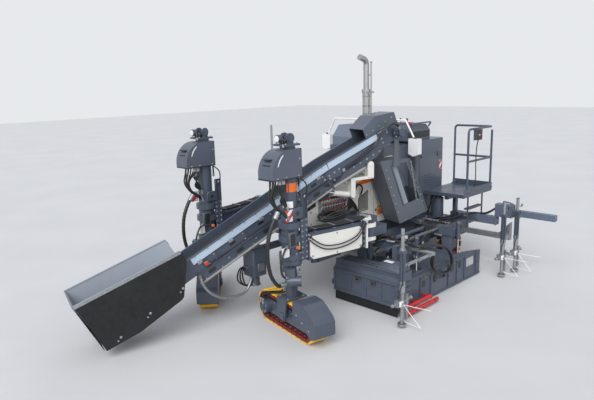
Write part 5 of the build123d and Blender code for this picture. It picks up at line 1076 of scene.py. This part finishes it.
def carrier_fittings():
    """Clamps, hoses, lights and pipes on the carriers over the mould."""
    fit = Piece("carrier_fittings", "chassis", None, DARK)
    for x in (-1.74, -2.98):
        for y in (-0.2, 0.56):
            fit.box((x - 0.075, y - 0.08, 0.9103), (x + 0.075, y + 0.08, 0.924), DARK, 0.003)
            fit.bolts(grid((x - 0.055, x + 0.055), (y - 0.06, y + 0.06), 0.924), "z", 0.012)
            fit.box((x - 0.062, y - 0.072, 0.4703), (x + 0.062, y + 0.072, 0.484), DARK, 0.003)
            fit.bolts(grid((x - 0.056, x + 0.056), (y - 0.064, y + 0.064), 0.484), "z", 0.009)
        fit.box((x - 0.07, 0.7003, 0.775), (x + 0.07, 0.712, 0.915), DARK, 0.003)
        fit.bolts(grid((x - 0.048, x + 0.048), 0.712, (0.8, 0.89)), "y", 0.01)
    # Longitudinal pipes and a bundle of black hoses running back between the carriers
    fit.pin("x", 0.43, 0.83, -1.671, -1.52, 0.03, DARK)
    fit.pin("x", 0.18, 0.845, -1.811, -2.909, 0.038, DARK, 24)
    fit.pin("x", 0.42, 0.87, -1.811, -2.909, 0.022, ZINC_DARK)
    for k, y in enumerate(row(0.02, 0.055, 7)):
        sag = 0.02 * (k % 3)
        fit.hose([(-1.52, y * 0.6 - 0.05, 0.955 - 0.01 * k), (-1.68, y, 0.945 + sag),
                  (-1.98, y + 0.03, 0.8 - sag), (-2.3, y + 0.01, 0.72 - sag),
                  (-2.66, y + 0.04, 0.77 - sag), (-2.98, y, 0.93 + sag / 2),
                  (-3.28, y - 0.06, 0.84), (-3.52, y - 0.1, 0.815)], 0.0135)
    # The big loop of hoses that hangs past the side form's top edge
    loop = [(-1.72, 0.915), (-2.03, 0.872), (-2.39, 0.76), (-2.575, 0.6), (-2.615, 0.43),
            (-2.48, 0.345), (-2.24, 0.395), (-2.07, 0.53)]
    for k in range(4):
        out = 0.84 + 0.018 * k
        fit.hose([(-1.62, 0.36 + 0.03 * k, 0.935), (-1.66, 0.6, 0.95)]
                 + [(x + 0.016 * k, out, z + 0.014 * (k % 2)) for x, z in loop]
                 + [(-2.035, out, 0.66), (-2.05, out - 0.04, 0.745), (-2.09, 0.66, 0.79),
                    (-2.12, 0.5, 0.805)], 0.0125)
    # Electric boxes with cable glands, one work light
    fit.box((-1.8, 0.3, 0.9105), (-1.69, 0.4, 0.99), PLASTIC_AND_SHADE, 0.006)
    fit.box((-2.93, 0.03, 0.9105), (-2.82, 0.15, 0.975), ZINC_DARK)
    fit.pin("z", -1.745, 0.62, 0.924, 0.985, 0.01, PLASTIC_AND_SHADE, 10)
    fit.box((-1.72, 0.585, 0.985), (-1.78, 0.655, 1.045), PLASTIC_AND_SHADE, 0.008)
    fit.box((-1.7195, 0.592, 0.992), (-1.716, 0.648, 1.038), LAMP_GLASS, 0.001)
    fit.finish()


def mould_trim():
    """Vibrator housings, ribs and bolts on the mould."""
    trim = Piece("mould_trim", "chassis", None, DARK)
    for x, y in product((-1.86, -2.2), (-0.05, 0.2, 0.45)):
        trim.pin("z", x, y, 0.4703, 0.56, 0.036, DARK)
        trim.pin("z", x, y, 0.56, 0.585, 0.024, ZINC, 16)
        trim.hose([(x, y, 0.58), (x - 0.03, y, 0.65), (x - 0.1, y + 0.03, 0.69),
                   (x - 0.2, y + 0.02, 0.76)], 0.011, 5)
    trim.bolts(grid(row(-1.7, -0.16, 9), (0.69, -0.265), 0.4703), "z")
    trim.box((-2.905, 0.27, 0.4703), (-2.25, 0.282, 0.64), DARK, 0.002)
    # Pale rim round the funnel
    for x0, y0, x1, y1 in ((-2.91, -0.262, -2.21, -0.24), (-2.91, 0.28, -2.21, 0.302),
                           (-2.91, -0.24, -2.888, 0.28), (-2.232, -0.24, -2.21, 0.28)):
        trim.box((x0, y0, 0.8203), (x1, y1, 0.832), ZINC_DARK, 0.002)
    trim.finish()


def side_form_trim():
    """Ribs, handles, slots and bolts on the sliding side form, with its red guard bars."""
    trim = Piece("side_form_trim", "side_form", None, DARK)
    face = 0.78
    for x in (-1.56, -1.86, -2.14, -2.64, -2.9, -3.14, -3.52):
        trim.box((x - 0.012, face, 0.03), (x + 0.012, face + 0.016, 0.44), DARKER, 0.002)
        trim.bolts(grid(x, face + 0.016, (0.08, 0.23, 0.38)), "y", 0.009)
    trim.box((-3.655, face, 0.012), (-1.62, face + 0.012, 0.036), DARKER, 0.002)
    # Framed slots whose black insides are painted shade
    for x, low, high in ((-1.99, 0.235, 0.33), (-2.33, 0.25, 0.36), (-2.47, 0.25, 0.36),
                         (-2.8, 0.26, 0.37), (-3.02, 0.26, 0.37)):
        trim.box((x - 0.006, face, low - 0.006), (x + 0.096, face + 0.004, high + 0.006), DARK,
                 0.001)
        trim.box((x, face + 0.004, low), (x + 0.09, face + 0.005, high), PLASTIC_AND_SHADE, 0)
    # Lighter bar and short strips along the top: painted highlights
    trim.box((-3.09, face + 0.022, 0.424), (-1.56, face + 0.03, 0.446), CHUTE_AND_HIGHLIGHT_PAINT, 0.002)
    for x in row(-1.7, -0.19, 8):
        trim.box((x, face, 0.395), (x + 0.06, face + 0.006, 0.415), CHUTE_AND_HIGHLIGHT_PAINT, 0.001)
    # Bent handles
    for x in (-2.02, -2.72):
        trim.loop([(x - 0.08, face, 0.405), (x - 0.08, face + 0.032, 0.405),
                   (x + 0.08, face + 0.032, 0.405), (x + 0.08, face, 0.405)], 0.009, 4,
                  ZINC_DARK, 8)
    trim.bolts(grid(row(-1.62, -0.105, 14), face + 0.01, 0.466), "z", 0.008)
    # Red guard bars at the front corner
    trim.boxes(BRIGHT_RED, 0.004, (-2.08, 0.93, 0.03, -1.25, 0.965, 0.085),
               (-1.29, 0.9, 0.085, -1.25, 0.93, 0.26), (-1.96, 0.9, 0.11, -1.25, 0.924, 0.16),
               (-1.64, 0.78, 0.09, -1.6, 0.93, 0.13), (-1.96, 0.78, 0.09, -1.92, 0.93, 0.13))
    trim.bolts(grid(row(-1.34, -0.16, 5), 0.965, 0.058), "y", 0.01)
    trim.finish()


def side_form_jacks():
    """Two upright cylinders that lift the side form, held on the carriers, with their rods."""
    jacks = Piece("side_form_jacks", "chassis")
    rods = Piece("side_form_jack_rods", "side_form")
    y = 0.742
    for x in (-1.805, -2.98):
        jacks.pin("z", x, y, 0.735, 1, 0.028, DARK, 24)
        jacks.pin("z", x, y, 0.99, 1.02, 0.033, ZINC_DARK)
        jacks.box((x - 0.012, 0.69, 0.8), (x + 0.012, 0.725, 0.89), DARK, 0.003)
        jacks.hose([(x + 0.02, 0.74, 1.01), (x + 0.05, 0.73, 1.04), (x + 0.04, 0.68, 1.03),
                    (x + 0.02, 0.6, 0.98)], 0.008, 5)
        rods.pin("z", x, y, 0.5, 0.78, 0.013, CHROME)
        rods.pin("z", x, y, 0.5, 0.522, 0.022, ZINC_DARK, 16)
    jacks.finish()
    rods.finish()


trimmer_trim()
trimmer_jacks()
carrier_fittings()
mould_trim()
side_form_trim()
side_form_jacks()


# Sensor masts

def sensor_head(piece, x, y):
    """Clamps, crank, white box, wands and cable of one sensor mast at its place."""
    piece.turn = Matrix.Translation((x, y, 0.03))
    piece.box((-0.034, -0.034, 0.56), (0.034, 0.034, 0.62), DARK)
    piece.box((-0.045, -0.045, 0.99), (0.045, 0.045, 1.04), DARK)
    piece.pin("z", 0, 0, 0.62, 1.01, 0.0405, DARK, 24)
    piece.pin("z", 0, 0, 1.245, 1.252, 0.026, PLASTIC_AND_SHADE, 16)
    piece.pin("y", 0, 1.12, 0.03, 0.075, 0.007, ZINC, 10)
    piece.pin("z", 0, 0.07, 1.12, 1.165, 0.01, PLASTIC_AND_SHADE, 10)
    piece.bolts(grid(-0.09, 0.0202, (0.1, 0.2, 0.3, 0.4)), "y", 0.01)
    # Cross tube with end knobs
    piece.pin("x", 0, 0.335, -0.2, 0.22, 0.013, ZINC, 14)
    for end in (-0.2, 0.22):
        piece.pin("x", 0, 0.335, end - 0.012, end + 0.012, 0.024, ZINC, 16)
    piece.box((0.05, 0.036, 0.3), (0.122, 0.06, 0.372), WHITE, 0.006)
    piece.pin("y", 0.086, 0.336, 0.06, 0.084, 0.018, ZINC, 14)
    piece.pin("z", 0, 0, 0.026, 0.04, 0.046, ZINC_DARK)
    # Wands
    hub, foot = (0.086, 0.08, 0.336), (-0.014, 0.28, 0.036)
    for start, end in ((hub, (-0.034, 0.42, 0.306)), (hub, foot), ((0, 0.04, 0.06), foot)):
        piece.rod(start, end, 0.0045, WHITE, 8, 0)
    piece.loop([(0.09, 0, 0.38), (0.1, 0.02, 0.47), (0.06, 0.04, 0.62), (0.055, 0.045, 0.85),
                (0.05, 0.03, 1)], 0.006, 5, PLASTIC_AND_SHADE, 6)
    piece.turn = Matrix()


def sensor_trim():
    """Dressing of the three masts, each on the body that carries it."""
    fixed = Piece("fixed_sensor_trim", "chassis")
    sensor_head(fixed, -1, 1.06)
    sensor_head(fixed, -3.7, 1.15)
    fixed.hose([(-1, 1.02, 1.05), (-1.06, 0.98, 1.14), (-1.3, 0.9, 1.02), (-1.6, 0.85, 0.93),
                (-1.72, 0.7, 0.93)], 0.008)
    for x in (-1.1, -1.36, -1.62):
        fixed.box((x - 0.016, 1.03, 0.822), (x + 0.016, 1.09, 0.878), ZINC_DARK, 0.003)
        fixed.bolts([(x, 1.09, 0.85)], "y", 0.009)
    fixed.bolts(grid(-3.91, (0.42, 0.6, 1.1), 0.6803), "z", 0.012)
    fixed.finish()
    sliding = Piece("slide_sensor_trim", "beam_slide")
    sensor_head(sliding, -4.08, 1.2)
    sliding.bolts(grid(-4.205, (0.9, 1.35, 1.7), 1.045), "z", 0.012)
    sliding.finish()


sensor_trim()


# Conduit, rear frame, deck, cabinet, engine housing and front body

def conduit():
    """The grey cable conduit from the hydraulic box to the conveyor's lower end."""
    route = [(0.025, -0.8, 0.575), (0.04, -0.8, 0.49), (0.118, -0.8, 0.379), (0.247, -0.8, 0.342),
             (0.389, -0.8, 0.354), (0.559, -0.798, 0.4), (0.734, -0.785, 0.513),
             (0.852, -0.772, 0.659), (0.898, -0.775, 0.795)]
    steps, split = 8, 4
    path = smooth_path(route, steps)
    middle = route[split]
    box_half = Piece("conduit_at_box", "chassis")
    box_half.loop(path[:steps * split + 1], 0.02, 1, ZINC, 12)
    box_half.finish(("conveyor_cradle", route[1], middle))
    free_half = Piece("conduit_at_conveyor", "conveyor_cradle")
    free_half.loop(path[steps * split:], 0.02, 1, ZINC, 12)
    free_half.rod((0.896, -0.775, 0.77), (0.898, -0.775, 0.815), 0.027, ZINC_DARK, 16)
    free_half.rod((0.898, -0.772, 0.8), (0.898, -0.86, 0.8), 0.012, ZINC_DARK, 12)
    free_half.finish(("conveyor", middle, (0.8, -0.78, 0.354)))


def rear_fittings():
    """Blank tag, flange bolts, hoses and clamps on the rear box and its columns."""
    fit = Piece("rear_frame_fittings", "chassis", None, DARK)
    fit.box((-3.5, 0, 0.575), (-3.498, 0.15, 0.685), WHITE, 0)
    fit.box((-3.498, 0.02, 0.6), (-3.497, 0.09, 0.66), ZINC, 0)
    fit.bolts(grid((-3.545, -4.11), 0.3, (0.575, 0.77)), "y", 0.013)
    x = -3.82
    for y in (-0.15, -1.83):
        fit.bolts(grid((x - 0.12, x, x + 0.12), (y - 0.115, y + 0.115), 0.826), "z", 0.014)
        fit.pin("z", x, y, 1.168, 1.186, 0.082, DARK, 32)
        fit.bolts(ring((x, y, 1.186), 0.065, "z", SIX_BOLTS), "z")
        fit.hose([(-3.76, y + 0.05, 1.18), (-3.68, y + 0.06, 1.24), (-3.62, y + 0.02, 1.16),
                  (-3.6, y - 0.04, 0.98), (-3.58, y - 0.08, 0.83)], 0.012)
    fit.bolts(grid(row(-3.53, -0.15, 5), 0.27, 0.8003), "z", 0.012)
    # Hose bundles over the rear box toward the carriers and down to the tracks
    for k in range(6):
        z = 0.83 + 0.018 * (k % 3)
        fit.hose([(-3.3, -0.1 + 0.05 * k, 0.88), (-3.46, -0.05 + 0.05 * k, z + 0.03),
                  (-3.66, 0.045 * k, z), (-3.95, 0.02 + 0.04 * k, z),
                  (-4.12, 0.03 * k, z + 0.01)], 0.012, 5)
    for k in range(3):
        fit.hose([(-4.1, 0.22 + 0.02 * k, 0.84), (-4.2, 0.36 + 0.03 * k, 0.9),
                  (-4.24, 0.6, 0.905 + 0.012 * k), (-4.24, 0.9, 1.135), (-4.22, 1.06, 1.135)],
                 0.009)
    fit.bolts(grid(-4.205, (0.1, 0.4, 0.7), 0.8803), "z", 0.013)
    fit.bolts(grid(-4.205, 0.8003, (0.78, 0.86)), "y", 0.012)
    # Tail lights
    for y in (-1.8, 0.16):
        fit.pin("x", y, 0.7, -4.1403, -4.165, 0.045, RED_LENS, 24)
    fit.finish()


def deck_fittings():
    """Tread plate, rail clamps, switch box, step and cable on the deck."""
    fit = Piece("deck_fittings", "chassis")
    rear, front, right, left, top = -4.62, -3.62, -0.31, 0.47, 1.31
    tread = [(-0.014, -0.003), (0.014, 0.01), (0.012, 0.014), (-0.016, 0.001)]
    for i, k in product(range(17), range(13)):
        x, y = rear + 0.035 + 0.058 * i, right + 0.03 + 0.058 * k
        slope = 1 if (i + k) % 2 else -1
        fit.prism([(x + dx, y + dy * slope) for dx, dy in tread[::slope]], top, top + 0.0022, "z",
                  DARKER, 0)
    fit.box((rear, left - 0.004, top), (front, left, top + 0.09), DARK, 0.002)
    fit.box((rear, right, top), (rear + 0.005, left, top + 0.09), DARK, 0.002)
    for x, y in ((-3.77, 0.442), (-4.6, 0.442), (-4.6, -0.28)):
        fit.pin("z", x, y, top + 0.002, top + 0.012, 0.045, DARK, 24)
        fit.pin("z", x, y, top + 0.01, top + 0.07, 0.0235, DARK)
        fit.bolts([(x, y + 0.024, top + 0.04)], "y", 0.008)
        fit.pin("z", x, y, top + 0.532, top + 0.558, 0.0235, DARK)
    # Switch box on the rail: cover, buttons, cable
    fit.box((-4.096, 0.514, 2.216), (-3.934, 0.519, 2.386), PLASTIC_AND_SHADE, 0.003)
    for x, material in ((-4.05, BRIGHT_RED), (-4.014, ZINC), (-3.978, YELLOW)):
        fit.pin("y", x, 2.3, 0.519, 0.53, 0.012, material, 14)
    fit.loop([(-4.015, 0.49, 2.21), (-4.015, 0.47, 2.12), (-4.02, 0.455, 1.9), (-4.02, 0.462, 1.6),
              (-4.02, 0.455, 1.42), (-4.02, 0.44, 1.33)], 0.009, 5, PLASTIC_AND_SHADE, 8)
    # Open step below the deck's left side
    for x in (-3.8, -4.3):
        fit.box((x - 0.01, 0.44, 0.76), (x + 0.01, 0.465, 1.25), DARK, 0.003)
    for z in (0.78, 1.02):
        fit.box((-4.3, 0.38, z), (-3.8, 0.466, z + 0.026), DARKER, 0.003)
        for x in row(-4.27, 0.055, 9):
            fit.box((x, 0.392, z + 0.026), (x + 0.02, 0.456, z + 0.03), ZINC_DARK, 0)
    fit.finish()


def cabinet_fittings():
    """Doors, louvres, latches and reflectors of the cabinet; gauges on the console."""
    fit = Piece("cabinet_and_console_fittings", "chassis", None, DARK)
    face = -0.32
    fit.box((-4.05, face, 1.06), (-3.48, face + 0.004, 2.14), GREY_PANEL, 0.003)
    for z in (1.28, 1.92):
        fit.pin("y", -3.53, z, face + 0.004, face + 0.013, 0.022, PLASTIC_AND_SHADE, 18)
        fit.box((-4.066, face, z - 0.045), (-4.042, face + 0.012, z + 0.045), PLASTIC_AND_SHADE, 0.003)
    for z in row(1.3, 0.045, 7):
        fit.box((-3.9, face + 0.004, z), (-3.64, face + 0.012, z + 0.018), GREY_PANEL, 0.003)
    fit.boxes(STRIPES, 0, (-4.2, face, 1.63, -4.13, face + 0.003, 1.8),
              (-4.3025, -0.7, 1.63, -4.3, -0.56, 1.8))
    for z in row(1.9, 0.03, 9):
        fit.box((-4.309, -0.86, z), (-4.3, -0.42, z + 0.012), PLASTIC_AND_SHADE, 0.001)
    # Console: hooded screens, keys, levers and a stop button
    fit.box((-3.86, -0.94, 2.4755), (-3.42, -0.52, 2.492), PLASTIC_AND_SHADE, 0.006)
    for y in (-0.88, -0.74, -0.6):
        fit.box((-3.8, y - 0.05, 2.492), (-3.69, y + 0.05, 2.496), LAMP_GLASS, 0.002)
        for key in (y - 0.035, y, y + 0.035):
            fit.pin("z", -3.62, key, 2.492, 2.502, 0.009, ZINC, 12)
        fit.rod((-3.52, y, 2.49), (-3.5, y, 2.56), 0.007, ZINC, 10)
        fit.rod((-3.502, y, 2.55), (-3.496, y, 2.58), 0.015, PLASTIC_AND_SHADE, 14)
    fit.pin("z", -3.45, -0.52, 2.48, 2.52, 0.024, BRIGHT_RED)
    fit.box((-3.99, -0.4503, 2.24), (-3.3, -0.444, 2.35), PLASTIC_AND_SHADE, 0.002)
    fit.finish()


def engine_fittings():
    """Louvre frames, roof plates, clamp rings and cap of the exhaust."""
    fit = Piece("engine_housing_fittings", "chassis", None, DARK)
    for wall, low, high in ((-1.95, 1.06, 1.4), (-1.6, 1.58, 2.04)):
        fit.boxes(PLASTIC_AND_SHADE, 0.001, (-3.26, wall - 0.006, low - 0.014, -2.68, wall, low),
                  (-3.26, wall - 0.006, high, -2.68, wall, high + 0.014))
        for z in (low + 0.05, high - 0.05):
            fit.pin("y", -2.64, z, wall, wall - 0.01, 0.02, PLASTIC_AND_SHADE, 16)
    # Front radiator grille and roof cover strips
    for y in row(-1.52, 0.07, 14):
        fit.box((-2.5803, y, 1.56), (-2.572, y + 0.04, 2.08), PLASTIC_AND_SHADE, 0.003)
    fit.boxes(GREY_PANEL, 0.001, (-2.572, -1.545, 1.54, -2.568, -0.53, 1.556),
              (-2.572, -1.545, 2.084, -2.568, -0.53, 2.1))
    fit.box((-3.37, -0.9, 2.1503), (-2.6, -0.5, 2.158), GREY_PANEL, 0.003)
    fit.bolts(grid(row(-3.34, 0.18, 5), (-0.88, -0.52), 2.158), "z", 0.01)
    fit.box((-3.36, -1.93, 1.4803), (-2.33, -1.64, 1.486), GREY_PANEL, 0.002)
    fit.bolts(grid(row(-3.3, 0.23, 5), (-1.9, -1.67), 1.486), "z", 0.01)
    # Fuel cap
    fit.pin("z", -2.44, -1.3, 1.48, 1.52, 0.045, PLASTIC_AND_SHADE, 24)
    # Exhaust: clamps, slotted shield with black dots of painted shade for its slots, cap
    x, y = -3.3, -1.35
    for z in (2.4, 2.96):
        fit.pin("z", x, y, z, z + 0.03, 0.0735, ZINC, 28)
    for a, z in product(row(0, math.pi / 5, 10), (2.52, 2.66, 2.8)):
        start, end = (ring((x, y, z), radius, "z", (a,))[0] for radius in (0.07, 0.0715))
        fit.rod(start, end, 0.011, PLASTIC_AND_SHADE, 10, 0)
    fit.pin("z", x, y + 0.11, 3.56, 3.585, 0.02, ZINC, 14)
    fit.pin("y", x, 3.35, y + 0.05, y + 0.112, 0.009, ZINC, 10)
    # Shield caps of the marker arch
    for y in (-0.221, -2.2):
        fit.pin("z", -3.18, y, 2.27, 2.292, 0.03, PLASTIC_AND_SHADE)
    fit.finish()
    hood = Piece("hood_fittings", "engine_hood")
    left = -0.98
    for z in (2.316, 2.386):
        hood.box((-3.03, left - 0.012, z + 0.003), (-2.82, left - 0.006, z + 0.025), PLASTIC_AND_SHADE, 0)
    for x in (-3.05, -2.7):
        hood.pin("y", x, 2.2, left, left + 0.012, 0.02, PLASTIC_AND_SHADE, 16)
    hood.box((-3.08, -1.5, 2.4903), (-2.8, -1.06, 2.496), GREY_PANEL, 0.002)
    hood.bolts(grid((-3.07, -2.8), (-1.53, -1.02), 2.4903), "z", 0.01)
    hood.finish()


def front_body_fittings():
    """Filler caps, hoses and the hydraulic box ahead of the housing."""
    fit = Piece("front_body_fittings", "chassis", None, DARK)
    for y in (-0.52, -1.64):
        fit.bolts([(-0.82 - 0.14 * k, y, 1.3925 + 0.0094 * k) for k in range(8)], "z", 0.01)
    fit.pin("z", -1.3, -0.8, 1.425, 1.475, 0.05, PLASTIC_AND_SHADE, 24)
    fit.pin("z", -1.55, -1.1, 1.44, 1.48, 0.04, PLASTIC_AND_SHADE, 24)
    for y in row(-0.62, -0.035, 6):
        fit.hose([(-0.95, y, 1.4), (-1.1, y, 1.455), (-1.4, y - 0.02, 1.478), (-1.75, y, 1.5),
                  (-1.95, y + 0.02, 1.5)], 0.0125, 5)
    # Hydraulic box with its motor under the conveyor
    x, y = -0.06, -0.81
    fit.box((-0.79, -0.86, 0.88), (-0.18, -0.76, 0.96), DARK, 0.005)
    fit.box((-0.18, -0.93, 0.56), (0.06, -0.69, 0.985), DARK, 0.012)
    fit.box((-0.15, -0.9345, 0.6), (0.03, -0.93, 0.94), PLASTIC_AND_SHADE, 0.002)
    fit.bolts(grid((-0.15, 0.03), -0.69, (0.6, 0.94)), "y")
    fit.pin("z", x, y, 0.562, 0.43, 0.062, DARK, 28)
    fit.pin("z", x, y, 0.432, 0.408, 0.074, ZINC_DARK, 28)
    fit.box((-0.12, -0.69, 0.64), (0, -0.664, 0.76), ZINC_DARK)
    # Black hoses hung in clips under the box
    for k in range(3):
        y = -0.9 + 0.04 * k
        fit.hose([(0.06, y, 0.7), (0.16, y, 0.66), (0.19 - 0.02 * k, y, 0.52),
                  (0.08, -0.88 + 0.03 * k, 0.42), (-0.03, -0.85 + 0.03 * k, 0.44)], 0.011)
    fit.finish()


conduit()
rear_fittings()
deck_fittings()
cabinet_fittings()
engine_fittings()
front_body_fittings()


# Stage, light and camera

def stage():
    """A plain pale floor and backdrop."""
    mesh = bpy.data.meshes.new("floor")
    half, z = 60.0, -0.001
    mesh.from_pydata([(-half, -half, z), (half, -half, z), (half, half, z), (-half, half, z)], [],
                     [(0, 1, 2, 3)])
    floor = bpy.data.objects.new("floor", mesh)
    bpy.context.collection.objects.link(floor)
    look = Look("floor_grey")
    base = look.mix(look.spread(look.noise(0.6, 4), 0, 1), (0.56, 0.56, 0.57), (0.6, 0.6, 0.605))
    look.put(look.shader.inputs["Base Color"], base)
    look.put(look.shader.inputs["Roughness"], 0.85)
    mesh.materials.append(look.material)
    world = bpy.data.worlds.new("studio")
    bpy.context.scene.world = world
    world.use_nodes = True
    tree = world.node_tree
    light, shown = tree.nodes["Background"], tree.nodes.new("ShaderNodeBackground")
    for background, colour, strength in ((light, (0.8, 0.84, 0.9, 1), 0.75),
                                         (shown, (0.8, 0.82, 0.84, 1), 1)):
        background.inputs["Color"].default_value = colour
        background.inputs["Strength"].default_value = strength
    path = tree.nodes.new("ShaderNodeLightPath")
    mixer = tree.nodes.new("ShaderNodeMixShader")
    for source, socket in zip((path.outputs["Is Camera Ray"], light.outputs[0], shown.outputs[0]),
                              mixer.inputs):
        tree.links.new(source, socket)
    tree.links.new(mixer.outputs[0], tree.nodes["World Output"].inputs["Surface"])


def sun(name, strength, angle, direction):
    lamp = bpy.data.lights.new(name, "SUN")
    lamp.energy = strength
    lamp.angle = math.radians(angle)
    shown = bpy.data.objects.new(name, lamp)
    shown.rotation_euler = Vector(direction).to_track_quat("-Z", "Y").to_euler()
    bpy.context.collection.objects.link(shown)


def camera():
    """The photograph's viewpoint."""
    place = at(4.81, 5.06, 3.2)
    pitch, roll = math.radians(11.64), math.radians(1.58)
    ahead = Vector((-0.6997 * math.cos(pitch), -0.7145 * math.cos(pitch), -math.sin(pitch)))
    ahead.normalize()
    right = ahead.cross(Vector((0, 0, 1))).normalized()
    leaning_right = right * math.cos(roll) - right.cross(ahead) * math.sin(roll)
    leaning_up = leaning_right.cross(ahead)
    lens_data = bpy.data.cameras.new("camera")
    lens_data.lens = 33.7
    lens_data.sensor_width = 36.0
    lens_data.clip_end = 200.0
    shown = bpy.data.objects.new("camera", lens_data)
    turn = Matrix((leaning_right, leaning_up, -ahead)).transposed().to_4x4()
    shown.matrix_world = Matrix.Translation(place) @ turn
    bpy.context.collection.objects.link(shown)
    bpy.context.scene.camera = shown


stage()
sun("high_sun", 2.25, 45.0, (-0.80, -0.38, -0.80))
sun("fill_sun", 0.75, 90.0, (-0.6, -0.9, -0.35))
camera()
bpy.context.scene.view_settings.view_transform = "Standard"
